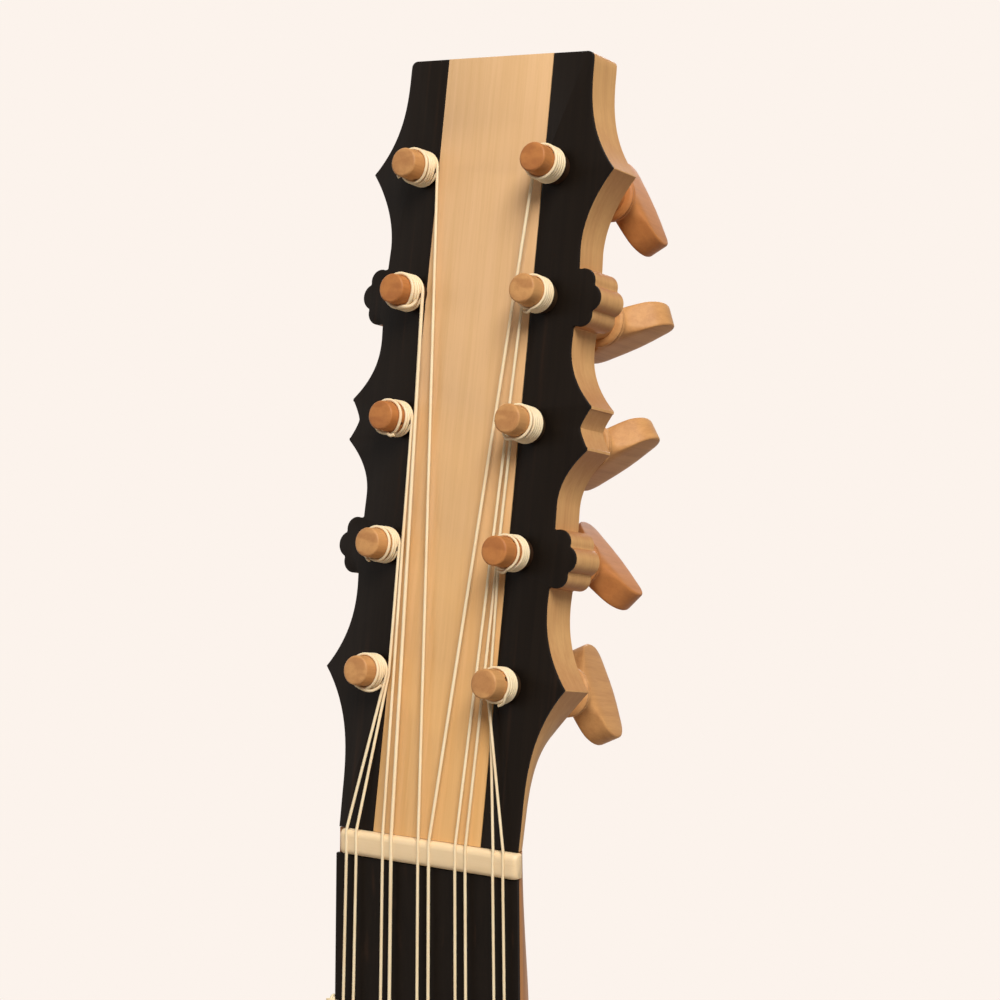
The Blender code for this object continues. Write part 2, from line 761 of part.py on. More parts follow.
def build_blocks_and_bars(finishes, button_bore):
    half = BLOCK_HALF_WIDTH
    wall = RIB_THICKNESS + GLUE_GAP
    neck_end = BODY_TOP_Z - wall
    tail_end = BODY_TOP_Z - BODY_LENGTH + wall + 3.0
    for name, high in (("neck_block", neck_end), ("tail_block", tail_end + BLOCK_THICKNESS)):
        low = high - BLOCK_THICKNESS
        front = [(-half, rib_front(), low), (half, rib_front(), low)]
        front += [(half, rib_front(), high), (-half, rib_front(), high)]
        back = [(x, rib_back(z), z) for x, _, z in front]
        block = add_object(name, plate(name, front, back), finishes["spruce"])
        if name == "tail_block":
            cut(block, button_bore)
    for n, place in enumerate(SOUNDBOARD_BAR_PLACES, 1):
        z = BODY_TOP_Z - place
        reach = inner_half_width(z)
        low = (-reach, rib_front(), z - BAR_WIDTH / 2)
        high = (reach, rib_front() + SOUNDBOARD_BAR_HEIGHT, z + BAR_WIDTH / 2)
        bar = add_object(f"soundboard_bar_{n}", box("bar", low, high), finishes["spruce"])
        soften(bar, 1.5, 1)
    for n, place in enumerate(BACK_BAR_PLACES, 1):
        z = BODY_TOP_Z - place
        reach = inner_half_width(z)
        top = z + BAR_WIDTH / 2
        low = (-reach, rib_back(top) - BACK_BAR_HEIGHT, z - BAR_WIDTH / 2)
        high = (reach, rib_back(top), top)
        bar = add_object(f"back_bar_{n}", box("bar", low, high), finishes["spruce"])
        soften(bar, 1.5, 1)


def build_plates(finishes):
    outline = body_points()
    whole = outline + mirror_points(outline[-2:0:-1], -1)
    front = [(x, FACE_Y, z) for x, z in whole]
    back = [(x, FACE_Y + SOUNDBOARD_THICKNESS, z) for x, z in whole]
    board = add_object("soundboard", plate("soundboard", front, back), finishes["spruce"])
    centre_z = BODY_TOP_Z - ROSE_PLACE
    hole = cylinders(
        "rose_hole",
        [((0, FACE_Y - 2, centre_z), (0, FACE_Y + 6, centre_z), ROSE_HOLE_RADIUS, ROSE_HOLE_RADIUS)],
        32,
    )
    cut(board, hole)
    half = halved(outline, GLUE_GAP)
    for side, label in ((-1, "bass"), (1, "treble")):
        points = mirror_points(half, side)
        outer = [(x, back_y(z), z) for x, z in points]
        inner = [(x, back_y(z) - BACK_THICKNESS, z) for x, z in points]
        add_object(f"back_{label}", plate("back", outer, inner), finishes["back"])


def build_rose(finishes):
    """A pierced disc under the soundboard, with rings of plain holes."""
    top = rib_front()
    centre_z = BODY_TOP_Z - ROSE_PLACE
    sides = 36
    rings = []
    for y in (top, top + ROSE_THICKNESS):
        ring = []
        for i in range(sides):
            turn = 2 * math.pi * i / sides
            ring.append((ROSE_RADIUS * math.cos(turn), y, centre_z + ROSE_RADIUS * math.sin(turn)))
        rings.append(ring)
    rose = add_object("rose", loft("rose", rings), finishes["parchment"])
    holes = [(0.0, 0.0, 3.6)]
    for count, radius, size, shift in ((6, 10.5, 3.7, 0.0), (12, 21.0, 4.0, 0.5), (16, 33.0, 4.6, 0.0)):
        for i in range(count):
            turn = 2 * math.pi * (i + shift) / count
            holes.append((radius * math.cos(turn), radius * math.sin(turn), size))
    places = []
    for x, up, size in holes:
        start = (x, top - 2.0, centre_z + up)
        end = (x, top + ROSE_THICKNESS + 2.0, centre_z + up)
        places.append((start, end, size, size))
    cut(rose, cylinders("rose_piercing", places, 8))


def build_button(finishes, centre_y):
    """The tail button on a Screw modifier, its shank in the tail block."""
    base = BODY_TOP_Z - BODY_LENGTH - SEAT_GAP
    profile = [
        (0.0, BUTTON_SHANK_LENGTH), (BUTTON_SHANK_RADIUS, BUTTON_SHANK_LENGTH),
        (BUTTON_SHANK_RADIUS, 0.0), (BUTTON_RADIUS * 0.8, 0.0), (BUTTON_RADIUS * 0.82, -1.4),
        (BUTTON_RADIUS * 0.55, -3.2), (BUTTON_RADIUS * 0.6, -5.0), (BUTTON_RADIUS, -7.6),
        (BUTTON_RADIUS * 0.96, -10.4), (BUTTON_RADIUS * 0.6, -BUTTON_LENGTH), (0.0, -BUTTON_LENGTH),
    ]
    sides = 16
    shape = bmesh.new()
    verts = [shape.verts.new(mm(radius, 0.0, height)) for radius, height in profile]
    for first, second in zip(verts, verts[1:]):
        shape.edges.new((first, second))
    bmesh.ops.spin(
        shape,
        geom=shape.verts[:] + shape.edges[:],
        cent=(0.0, 0.0, 0.0),
        axis=(0.0, 0.0, 1.0),
        angle=math.radians(360),
        steps=sides,
    )
    bmesh.ops.remove_doubles(shape, verts=shape.verts, dist=0.00001)
    button = add_object("tail_button", mesh_from("tail_button", shape), finishes["ebony"])
    button.location = mm(0.0, centre_y, base)


# Bridge and strings


def bridge_front_z():
    return -NUT_WIDTH - STRING_LENGTH


def bridge_string(i):
    """Place of string i in the bridge, as (x, y)."""
    return (STRING_PLACES[i] * BRIDGE_SPREAD, FACE_Y - STRING_RISE_AT_BRIDGE)


def build_bridge(finishes):
    front = bridge_front_z()
    back = front - BRIDGE_WIDTH
    base = FACE_Y - GLUE_GAP
    top = FACE_Y - BRIDGE_HEIGHT
    profile = [
        (base, front), (top + 1.4, front), (top + 0.5, front - 0.6), (top, front - 2.0),
        (top, front - BRIDGE_CROWN_LENGTH), (top + 0.6, front - TIE_BLOCK_LENGTH),
        (top + 3.4, front - TIE_BLOCK_LENGTH - BRIDGE_SLOPE_LENGTH),
        (top + 4.8, (front - TIE_BLOCK_LENGTH + back * 2.0) / 3.0), (base - 1.6, back), (base, back),
    ]
    half = BRIDGE_HALF_LENGTH
    rings = []
    for x, drop in (
        (-half, 2.6), (-half + 3.0, 0.6), (-half + 6.0, 0.0),
        (half - 6.0, 0.0), (half - 3.0, 0.6), (half, 2.6),
    ):
        rings.append([(x, min(y + drop * (base - y) / BRIDGE_HEIGHT, base), z) for y, z in profile])
    bridge = add_object("bridge", loft("bridge", rings), finishes["ebony"])
    places = []
    for i in range(len(STRING_PLACES)):
        x, y = bridge_string(i)
        radius = STRING_RADII[i] + STRING_CLEARANCE
        places.append(((x, y, front + 3.0), (x, y, back), radius, radius))
    cut(bridge, cylinders("bridge_holes", places, 6))


def moustache_points():
    """A scrolled outline that runs out from the end of the bridge, as (x, z)."""
    root = BRIDGE_HALF_LENGTH + SEAT_GAP
    reach = MOUSTACHE_REACH - root
    middle = bridge_front_z() - BRIDGE_WIDTH / 2
    upper = []
    lower = []
    steps = 12
    for i in range(steps + 1):
        s = i / steps
        x = root + reach * s
        sweep = 9.0 * math.sin(math.pi * s * 1.15) - 20.0 * s ** 2
        width = 8.0 * (1.0 - s) ** 0.8 + 2.2 * math.sin(math.pi * s) + 0.6
        upper.append((x, middle - sweep + width))
        lower.append((x, middle - sweep - width * 0.8))
    return upper + lower[::-1]


def build_moustaches(finishes):
    points = moustache_points()
    for side, label in ((-1, "bass"), (1, "treble")):
        outline = mirror_points(points, side)
        front = [(x, FACE_Y - GLUE_GAP - MOUSTACHE_THICKNESS, z) for x, z in outline]
        back = [(x, FACE_Y - GLUE_GAP, z) for x, z in outline]
        name = f"moustache_{label}"
        add_object(name, plate(name, front, back), finishes["ebony"])


def winding_facts(i):
    """Side, row and start height of the winding of string i."""
    side = -1 if i < 5 else 1
    row = i if i < 5 else 9 - i
    start = WINDING_START_LOW if row < 2 else WINDING_START
    return side, row, start


def bend_round(i):
    """Where string i is bent round a lower winding, as (u, v, w), or nothing."""
    side, row, _ = winding_facts(i)
    if row == 1:
        reach = peg_radius(0.0) + STRING_CLEARANCE + STRING_RADII[i] + 0.1
        return (side * (PEG_COLUMN - reach), PEG_ROWS[0], PASS_BY_PEG)
    if row == 2:
        reach = WINDING_ROOT + 3.0 * STRING_RADII[1] + STRING_CLEARANCE + 0.15
        return (side * (PEG_COLUMN - reach), PEG_ROWS[1], PASS_BY_WINDING)
    return None


def string_winding(i, nut_point):
    """Points of string i from where it meets its peg round to its cut end."""
    side, row, start = winding_facts(i)
    radius = WINDING_ROOT + STRING_RADII[i]
    foot = Vector(peg_centre(side, row, start))
    aim = Vector(bend_round(i)[:2]) if bend_round(i) else Vector(nut_point[:2])
    run = aim - foot
    spread = math.acos(radius / run.length)
    heading = math.atan2(run.y, run.x)
    first = heading - side * spread
    pitch = 2.0 * STRING_RADII[i] + WINDING_STEP_GAP
    steps = int(WINDING_TURNS * WINDING_POINTS)
    points = []
    for k in range(steps + 1):
        turned = k / WINDING_POINTS
        angle = first - side * 2.0 * math.pi * turned
        height = start + pitch * turned
        u, v = peg_centre(side, row, height)
        points.append((u + radius * math.cos(angle), v + radius * math.sin(angle), height))
    angle = first - side * 2.0 * math.pi * (steps + 2) / WINDING_POINTS
    reach = radius + 0.5
    top = start + pitch * (steps / WINDING_POINTS)
    u, v = peg_centre(side, row, top)
    points.append((u + reach * math.cos(angle), v + reach * math.sin(angle), top + 0.7))
    return points


def string_route(i):
    """Points of string i in mm, from its cut end at the peg to its loop at the bridge."""
    x, y = string_at_nut(i)
    nut_w = -y * math.cos(TILT)
    nut_point = (x, 0.0, nut_w)
    winding = string_winding(i, nut_point)
    bend = bend_round(i)
    route = [head_world(*point) for point in reversed(winding)]
    if bend:
        route.append(head_world(*bend))
    route.append((x, y + 0.12, 0.2))
    route.append((x, y, -0.9))
    route.append((x, y, -NUT_WIDTH + 0.2))
    bx, by = bridge_string(i)
    front = bridge_front_z()
    route.append((bx, by, front + 0.6))
    route.append((bx, by, front - TIE_BLOCK_LENGTH))
    rear = front - TIE_BLOCK_LENGTH - BRIDGE_SLOPE_LENGTH + 0.3 - STRING_RADII[i]
    crown = FACE_Y - BRIDGE_HEIGHT - STRING_CLEARANCE - STRING_RADII[i] - 0.1
    shift = 2.0 * STRING_RADII[i] + WINDING_STEP_GAP
    route.append((bx + 0.15, by - 0.3, rear - 0.4))
    route.append((bx + 0.3, by - 1.4, rear - 0.7))
    route.append((bx + 0.5, crown + 0.3, rear + 1.1))
    route.append((bx + 0.7, crown, front - BRIDGE_CROWN_LENGTH))
    route.append((bx + shift, crown, front - 2.0))
    route.append((bx + shift, crown + 0.5, front + 0.2))
    route.append((bx + shift, by - 0.9, front + 1.0))
    return route


def least_self_gap(points, radius):
    """Least clear distance between stretches of one cord that aren't neighbours."""
    spots = [Vector(point) for point in points]
    travelled = [0.0]
    for first, second in zip(spots, spots[1:]):
        travelled.append(travelled[-1] + (second - first).length)
    least = 1000.0
    for i, first in enumerate(spots):
        for j in range(i + 1, len(spots)):
            if travelled[j] - travelled[i] > 12.0 * radius:
                least = min(least, (spots[j] - first).length - 2.0 * radius)
    return least


def build_strings(finishes):
    for i, radius in enumerate(STRING_RADII):
        route = string_route(i)
        tube(f"string_{i + 1}", route, radius, finishes["gut"])
        print(f"string_{i + 1}: least gap to itself {least_self_gap(route, radius):.2f} mm")


def main():
    clear_scene()
    finishes = {
        "pale": material("pale_wood", (0.71, 0.42, 0.20), 0.42),
        "ebony": material("ebony", (0.012, 0.010, 0.009), 0.30),
        "peg": material("peg_wood", (0.48, 0.20, 0.07), 0.38),
        "bone": material("bone", (0.80, 0.66, 0.42), 0.35),
        "gut": material("gut", (0.82, 0.73, 0.50), 0.40),
        "neck": material("neck_wood", (0.36, 0.15, 0.06), 0.40),
        "spruce": material("spruce", (0.76, 0.52, 0.26), 0.50),
        "rib": material("rib_wood", (0.42, 0.19, 0.07), 0.32),
        "back": material("back_wood", (0.42, 0.19, 0.07), 0.32),
        "parchment": material("parchment", (0.72, 0.56, 0.34), 0.60),
    }
    head_frame = bpy.data.objects.new("head_frame", None)
    head_frame.rotation_euler = Euler((math.pi / 2 - TILT, 0.0, 0.0))
    bpy.context.scene.collection.objects.link(head_frame)
    build_head(finishes, head_frame)
    build_pegs(finishes, head_frame)
    build_neck(finishes)
    build_nut(finishes)
    build_frets(finishes)
    tail_z = BODY_TOP_Z - BODY_LENGTH
    button_y = (rib_front() + rib_back(tail_z)) / 2
    bore_radius = BUTTON_SHANK_RADIUS + SEAT_GAP
    button_bore = cylinders(
        "button_bore",
        [((0, button_y, tail_z - 5), (0, button_y, tail_z + 40), bore_radius, bore_radius)],
        20,
    )
    build_ribs(finishes, button_bore)
    build_linings(finishes)
    build_blocks_and_bars(finishes, button_bore)
    build_plates(finishes)
    build_rose(finishes)
    build_button(finishes, button_y)
    build_bridge(finishes)
    build_moustaches(finishes)
    build_strings(finishes)
    bpy.context.view_layer.update()


main()
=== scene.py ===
"""Looks for a five-course baroque guitar, modelled and finished round its packed frame.

The frame's axes: the origin is at the nut on the centre line, +Z runs up towards the head and
the soundboard faces -Y. The head has axes of its own: u across, v up the head, w out of its face.
Sizes in the code are in metres; mm() turns millimetres into them.
"""

import math

import bmesh
import bpy
from mathutils import Matrix, Vector
from mathutils.kdtree import KDTree


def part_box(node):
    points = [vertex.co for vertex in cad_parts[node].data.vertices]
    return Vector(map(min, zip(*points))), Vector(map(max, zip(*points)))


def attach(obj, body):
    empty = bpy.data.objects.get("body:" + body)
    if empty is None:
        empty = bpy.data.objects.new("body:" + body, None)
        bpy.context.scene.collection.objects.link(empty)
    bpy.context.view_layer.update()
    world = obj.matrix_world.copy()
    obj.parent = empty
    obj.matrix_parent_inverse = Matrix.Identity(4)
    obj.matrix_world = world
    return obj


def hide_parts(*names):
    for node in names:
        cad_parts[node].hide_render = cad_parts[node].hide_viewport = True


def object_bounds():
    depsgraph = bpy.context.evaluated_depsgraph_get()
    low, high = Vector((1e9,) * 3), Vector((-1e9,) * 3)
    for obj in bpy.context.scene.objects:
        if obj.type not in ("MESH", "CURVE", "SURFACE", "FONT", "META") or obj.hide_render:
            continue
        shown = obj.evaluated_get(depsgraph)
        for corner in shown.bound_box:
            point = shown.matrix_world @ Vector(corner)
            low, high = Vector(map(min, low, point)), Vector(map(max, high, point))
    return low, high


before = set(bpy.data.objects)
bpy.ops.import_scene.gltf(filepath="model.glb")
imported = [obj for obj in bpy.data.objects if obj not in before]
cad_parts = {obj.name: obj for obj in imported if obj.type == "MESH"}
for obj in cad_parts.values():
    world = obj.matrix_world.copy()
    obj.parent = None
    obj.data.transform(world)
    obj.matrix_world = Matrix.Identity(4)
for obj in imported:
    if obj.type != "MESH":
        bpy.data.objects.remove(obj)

bl_info = {
    "name": "Baroque guitar",
    "version": (1, 0, 0),
    "blender": (4, 5, 0),
    "location": "3D View > Sidebar > Guitar",
    "description": "Models and finishes a five-course guitar round its frame",
    "category": "Object",
}

CAD_BOX = [list(corner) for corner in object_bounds()]

# Place of each string at the nut, from left to right, and its radius, in millimetres
STRING_PLACES = (-21.9, -19.0, -11.2, -8.7, -0.9, 2.2, 9.7, 12.6, 20.3, 23.1)
STRING_RADII = (0.37, 0.36, 0.37, 0.44, 0.37, 0.40, 0.36, 0.37, 0.34, 0.34)
# Turn of each peg in degrees, how far it stands out in millimetres and how many degrees it leans
# up the head at its tip, from the lowest row up
PEG_TURNS = {"bass": (48, -20, 62, -35, 15), "treble": (-64, -44, 35, 24, -58)}
PEG_RISES = {"bass": (-0.8, -0.4, -0.8, -0.2, -0.1), "treble": (0.2, 1.1, 1.0, 0.1, 0.8)}
PEG_LEANS = {"bass": (0.0, 0.0, 0.0, 0.0, 0.0), "treble": (0.8, -0.4, 3.4, 3.7, 3.5)}
# Side and row of the pegs of redder wood
RED_PEGS = (("bass", 2), ("bass", 3), ("treble", 1), ("treble", 4))
# Half width of the body, and how far along its length that width lies
BODY_STATIONS = (
    (31.0, 0.0), (62.0, 0.02), (87.0, 0.08), (99.5, 0.169), (101.0, 0.249), (93.5, 0.356),
    (87.5, 0.444), (92.0, 0.54), (107.0, 0.64), (120.5, 0.733), (123.5, 0.813),
    (113.5, 0.9), (86.0, 0.962), (46.0, 0.993),
)
# Sides of the guitar, as the sign of x, and all its pegs
SIDES = {"bass": -1, "treble": 1}
ROWS = 5
PEGS = [(label, row) for label in SIDES for row in range(ROWS)]
# The shaft of a peg widens by one part in this many
TAPER = 40.0
# For each string: height of its lowest turn, tight turns above it, gap before the last turn, how
# loose that turn is and how far the cut end drops over the others, in millimetres, and the angle
# in degrees at which it ends
WINDINGS = (
    (1.9, 2.1, 0.3, 0.1, 2.0, 260), (1.7, 2.1, 0.95, 0.2, 0.0, 250), (1.5, 2.1, 1.5, 0.1, 0.2, 285),
    (2.3, 2.1, 0.3, 0.1, 1.2, 300), (1.15, 3.1, 0.55, 0.5, 0.0, 205), (3.0, 2.1, 0.0, 0.1, 0.0, 200),
    (2.6, 2.1, 0.0, 0.0, 0.6, 270), (2.0, 2.9, 0.6, 0.1, 1.4, 250), (2.4, 2.1, 1.3, 0.1, 1.4, 280),
    (2.2, 2.2, 0.3, 0.05, 1.2, 320),
)
# Points of a winding to each turn
TURN_STEPS = 36
# For each row whose string rubs along the peg below: how many of the string's radii and how many
# millimetres lie between that peg and the string's middle, and at what height
RUBS = {1: (1.0, 0.03, 0.95), 2: (3.0, 0.1, 1.6)}
# Spacing of the strings at the bridge, as a multiple of that at the nut, and the height of their
# holes over the soundboard in millimetres
BRIDGE_SPREAD = 1.68
BRIDGE_HOLES = 6.2
# Gap between pieces that fit closely, and length of a block of the inlay, in millimetres
FIT = 0.12
BLOCK = 4.4
# Cell, in millimetres, and turn of a pattern that reads the guitar's own axes in metres
METRE = (1000.0, 1000.0, 1000.0)
UPRIGHT = (0.0, 0.0, 0.0)


def mm(value):
    """A length in metres from millimetres."""
    return value * 0.001


def linear(red, green, blue):
    """A screen colour, from 0 to 255, as the linear colour that a shader takes."""
    shares = (red / 255.0, green / 255.0, blue / 255.0)
    return tuple(c / 12.92 if c <= 0.04045 else ((c + 0.055) / 1.055) ** 2.4 for c in shares)


# Sizes and colours that a user would change


def size(label, about, millimetres):
    """A setting for a length."""
    return bpy.props.FloatProperty(
        name=label, description=about, default=mm(millimetres), unit="LENGTH", precision=5
    )


def angle(label, about, degrees):
    """A setting for an angle."""
    return bpy.props.FloatProperty(
        name=label, description=about, default=math.radians(degrees), subtype="ANGLE"
    )


def colour(label, about, screen):
    """A setting for a colour, given as it shows on a screen."""
    return bpy.props.FloatVectorProperty(
        name=label, description=about, default=linear(*screen), size=3, min=0.0, max=1.0,
        subtype="COLOR",
    )


class HeadSizes(bpy.types.PropertyGroup):
    """Sizes of the scalloped head."""

    tilt: angle("Tilt", "How far the head leans back from the strings", 9.35)
    rise: size("Rise", "From the nut to the top of the head", 186.5)
    thickness: size("Thickness", "From the face of the head to its back", 10.8)
    veneer: size("Veneer", "Thickness of the ebony and of the centre strip", 0.8)
    half_at_nut: size("Half width at nut", "Half width of the head where it meets the nut", 25.6)
    half_at_top: size("Half width at top", "Half width of the head at its top corners", 26.1)
    waist: size("Waist", "Half width of the head between its cusps", 27.2)
    cusp: size("Cusp", "Half width of the head at the points of its cusps", 34.2)
    strip_low: size("Strip at nut", "Half width of the centre strip at the nut", 15.4)
    strip_high: size("Strip at top", "Half width of the centre strip at the top", 15.0)


class PegSizes(bpy.types.PropertyGroup):
    """Sizes of the friction pegs."""

    first_row: size("First row", "From the nut to the lowest pair of pegs", 37.8)
    row_pitch: size("Row pitch", "Distance between two rows of pegs", 30.4)
    column: size("Column", "Distance of each peg from the centre line", 18.7)
    tip_radius: size("Tip radius", "Radius of the shaft at its tip", 3.5)
    tip_rise: size("Tip rise", "How far the tip stands out of the face", 9.8)
    collar_depth: size("Collar depth", "From the face of the head to the collar", 25.5)
    collar_radius: size("Collar radius", "Radius of the turned collar", 6.2)
    collar_length: size("Collar length", "Length of the turned collar", 3.2)
    paddle_half: size("Paddle half width", "Half width of the thumb piece", 12.2)
    paddle_length: size("Paddle length", "Length of the thumb piece", 15.4)
    paddle_depth: size("Paddle half thickness", "Half thickness of the thumb piece", 3.3)


class NeckSizes(bpy.types.PropertyGroup):
    """Sizes of the neck, the fingerboard, the nut and the frets."""

    rise: size("Face rise", "How far the fingerboard stands in front of the head's face line", 0.6)
    board: size("Fingerboard", "Thickness of the fingerboard", 1.2)
    half_at_nut: size("Half width at nut", "Half width of the fingerboard at the nut", 26.0)
    half_at_body: size("Half width at body", "Half width of the fingerboard at the body", 30.5)
    run: size("Length", "From the nut to the body", 310.0)
    depth: size("Depth", "From the strings' side to the back of the neck near the nut", 18.0)
    depth_at_heel: size("Depth at heel", "The same where the heel starts", 22.5)
    volute: size("Volute", "Length over which the neck thins towards the head", 42.0)
    heel: size("Heel", "Length over which the neck deepens into the body", 46.0)
    nut_width: size("Nut width", "Width of the nut along the strings", 6.0)
    nut_half: size("Nut half length", "Half length of the nut", 25.4)
    nut_centre: size("Nut centre", "How far the nut's middle lies to the treble side", 1.2)
    nut_rise: size("Nut rise", "Height of the nut over the fingerboard", 1.35)
    fret_radius: size("Fret radius", "Radius of the gut of the tied frets", 0.36)


class BodySizes(bpy.types.PropertyGroup):
    """Sizes of the body, the rose and the bridge."""

    run: size("Length", "Length of the body", 450.0)
    depth_at_neck: size("Depth at neck", "Depth of the ribs at the neck", 80.0)
    depth_at_tail: size("Depth at tail", "Depth of the ribs at the tail", 92.0)
    board: size("Soundboard", "Thickness of the soundboard", 2.0)
    rose_place: size("Rose place", "From the top of the body to the middle of the rose", 157.0)
    rose_radius: size("Rose radius", "Radius of the hole for the rose", 41.5)
    scale: size("String length", "Sounding length of the strings", 650.0)
    bridge_half: size("Bridge half length", "Half length of the bridge block", 56.0)
    bridge_width: size("Bridge width", "Width of the bridge along the strings", 22.0)
    bridge_rise: size("Bridge height", "Height of the bridge over the soundboard", 9.5)
    moustache: size("Moustache reach", "From the centre line to the tip of a moustache", 92.0)
    button_radius: size("Button radius", "Radius of the tail button", 8.0)
    button_run: size("Button length", "Length of the tail button", 13.0)


class WoodColours(bpy.types.PropertyGroup):
    """Colours of the woods, the bone and the gut."""

    maple: colour("Maple", "Centre strip of the head", (224, 180, 131))
    # Darker, yellower tone of the centre strip towards the nut
    maple_deep: colour("Maple, aged", "Centre strip near the nut", (220, 170, 106))
    core: colour("Core", "Edges and back of the head", (217, 168, 109))
    # Dark tone of the core's grain and end grain, deep enough to serve as painted shade on its edges
    core_dark_and_shade: colour("Core, end grain", "Edges of the head that face along the grain", (154, 92, 48))
    ebony: colour("Ebony", "Veneers, fingerboard and bridge", (25, 18, 12))
    peg: colour("Fruitwood", "Pegs", (204, 150, 93))
    peg_red: colour("Fruitwood, red", "The pegs of redder wood", (188, 122, 66))
    peg_dark: colour("Fruitwood, dark", "Dark streaks and end grain of the pegs", (136, 74, 40))
    bone: colour("Bone", "Nut and purfling", (236, 206, 162))
    gut: colour("Gut", "Strings and frets", (240, 219, 180))
    neck: colour("Neck", "Neck and heel", (184, 122, 66))
    spruce: colour("Spruce", "Soundboard and inner work", (226, 184, 128))
    rib: colour("Rib wood", "Ribs and back", (158, 92, 48))
    rib_dark: colour("Rib wood, dark", "Dark figure of the ribs and the back", (84, 42, 22))
    parchment: colour("Parchment", "Rose", (222, 192, 140))


class StageSettings(bpy.types.PropertyGroup):
    """Background, lamps and lens."""

    backdrop: colour("Backdrop", "Colour of the floor and the background", (252, 243, 236))
    ambient: bpy.props.FloatProperty(
        name="Ambient", description="Strength of the light from all round", default=0.08, min=0.0
    )
    key: bpy.props.FloatProperty(
        name="Key lamp", description="Power of the large lamp", default=200.0, unit="POWER"
    )
    fill: bpy.props.FloatProperty(
        name="Fill lamp", description="Power of the weak lamp on the other side", default=8.0,
        unit="POWER",
    )
    lens: bpy.props.FloatProperty(
        name="Lens", description="Focal length of the camera", default=90.0, unit="CAMERA"
    )


# Modelling


def chosen(*names):
    """The groups of settings of those names, or the group itself where one is asked for."""
    groups = [getattr(bpy.context.scene, f"guitar_{name}") for name in names]
    return groups if len(groups) > 1 else groups[0]


def deselect():
    bpy.ops.object.select_all(action="DESELECT")


def pick(*pieces):
    """Select pieces and nothing else, with the first of them active."""
    deselect()
    for piece in pieces:
        piece.select_set(True)
    bpy.context.view_layer.objects.active = pieces[0]


def newest(name):
    """Name the piece that a primitive operator has just added."""
    piece = bpy.context.object
    piece.name = name
    piece.data.name = name
    return piece


def dress(piece, finish, body, slot, *replaced):
    """Give a new piece its finish, the body that it rides on and the CAD nodes that it stands for."""
    piece.data.materials.clear()
    piece.data.materials.append(finished(finish))
    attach(piece, body)
    if replaced:
        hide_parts(*replaced)


def refinish(finish, *nodes):
    """Give CAD nodes that stay in view a finish of the scene."""
    for node in nodes:
        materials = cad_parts[node].data.materials
        materials.clear()
        materials.append(finished(finish))


def soft_edges(piece, degrees=35):
    """Shade a piece smooth, apart from the edges sharper than an angle."""
    pick(piece)
    bpy.ops.object.shade_smooth_by_angle(angle=math.radians(degrees))


def pull(name, rings, fill):
    """Start a piece as its first section and extrude it from section to section, in edit mode."""
    deselect()
    bpy.ops.mesh.primitive_circle_add(vertices=len(rings[0]), radius=1.0, fill_type=fill)
    piece = newest(name)
    for point, vert in zip(rings[0], piece.data.vertices):
        vert.co = point
    bpy.ops.object.mode_set(mode="EDIT")
    bpy.ops.mesh.select_mode(type="VERT")
    bpy.ops.mesh.select_all(action="SELECT")
    places = list(range(len(rings[0])))
    for ring in rings[1:]:
        bpy.ops.mesh.extrude_region_move(TRANSFORM_OT_translate={"value": (0.0, 0.0, 0.01)})
        shape = bmesh.from_edit_mesh(piece.data)
        shape.verts.index_update()
        known = {index: spot for spot, index in enumerate(places)}
        for vert in [vert for vert in shape.verts if vert.select]:
            below = next(e.other_vert(vert) for e in vert.link_edges if not e.other_vert(vert).select)
            spot = known[below.index]
            places[spot] = vert.index
            vert.co = ring[spot]
        bmesh.update_edit_mesh(piece.data)
    return piece


def close(piece, smooth_to=35):
    """Turn a piece's faces outwards, leave edit mode and shade the piece."""
    bpy.ops.mesh.select_all(action="SELECT")
    bpy.ops.mesh.normals_make_consistent(inside=False)
    bpy.ops.object.mode_set(mode="OBJECT")
    soft_edges(piece, smooth_to)


def stack(name, rings, smooth_to=35):
    """Model a closed skin by pulling a face from section to section."""
    piece = pull(name, rings, "NGON")
    close(piece, smooth_to)
    return piece


def cord(name, points, radii, roundness=3):
    """Model a round cord along points, as a curve with thickness made into a mesh."""
    deselect()
    bpy.ops.curve.primitive_nurbs_path_add()
    data = newest(name).data
    data.splines.clear()
    line = data.splines.new("POLY")
    line.points.add(len(points) - 1)
    widest = max(radii)
    for spot, point, radius in zip(line.points, points, radii):
        spot.co = (*point, 1.0)
        spot.radius = radius / widest
    data.dimensions = "3D"
    data.bevel_depth = widest
    data.bevel_resolution = roundness
    data.use_fill_caps = True
    bpy.ops.object.convert(target="MESH")
    piece = newest(name)
    bpy.ops.object.mode_set(mode="EDIT")
    bpy.ops.mesh.select_all(action="SELECT")
    bpy.ops.mesh.remove_doubles(threshold=mm(0.001))
    close(piece, 50)
    return piece


def cutter(name, places, sides):
    """Join cones, each (base, top, base radius, top radius), into one object to cut with."""
    made = []
    for base, top, base_radius, top_radius in places:
        run = Vector(top) - Vector(base)
        deselect()
        bpy.ops.mesh.primitive_cone_add(
            vertices=sides, radius1=base_radius, radius2=top_radius, depth=run.length,
            location=(Vector(base) + Vector(top)) / 2.0,
            rotation=run.to_track_quat("Z", "Y").to_euler(),
        )
        made.append(newest(name))
    pick(*reversed(made))
    bpy.ops.object.join()
    return bpy.context.object


def carve(piece, tool):
    """Cut one object out of a piece, and throw the object away."""
    pick(piece)
    cut = piece.modifiers.new("carve", "BOOLEAN")
    cut.operation = "DIFFERENCE"
    cut.solver = "EXACT"
    cut.object = tool
    bpy.ops.object.modifier_apply(modifier=cut.name)
    bpy.data.objects.remove(tool)
    soft_edges(piece)


def smooth(share):
    """Ease a share from 0 to 1."""
    share = min(max(share, 0.0), 1.0)
    return share * share * (3.0 - 2.0 * share)


def circle(radius, count, offset=0.0):
    """Pairs evenly spaced round a circle, the first one a share of a step from the start."""
    turns = [2.0 * math.pi * (k + offset) / count for k in range(count)]
    return [(radius * math.cos(turn), radius * math.sin(turn)) for turn in turns]


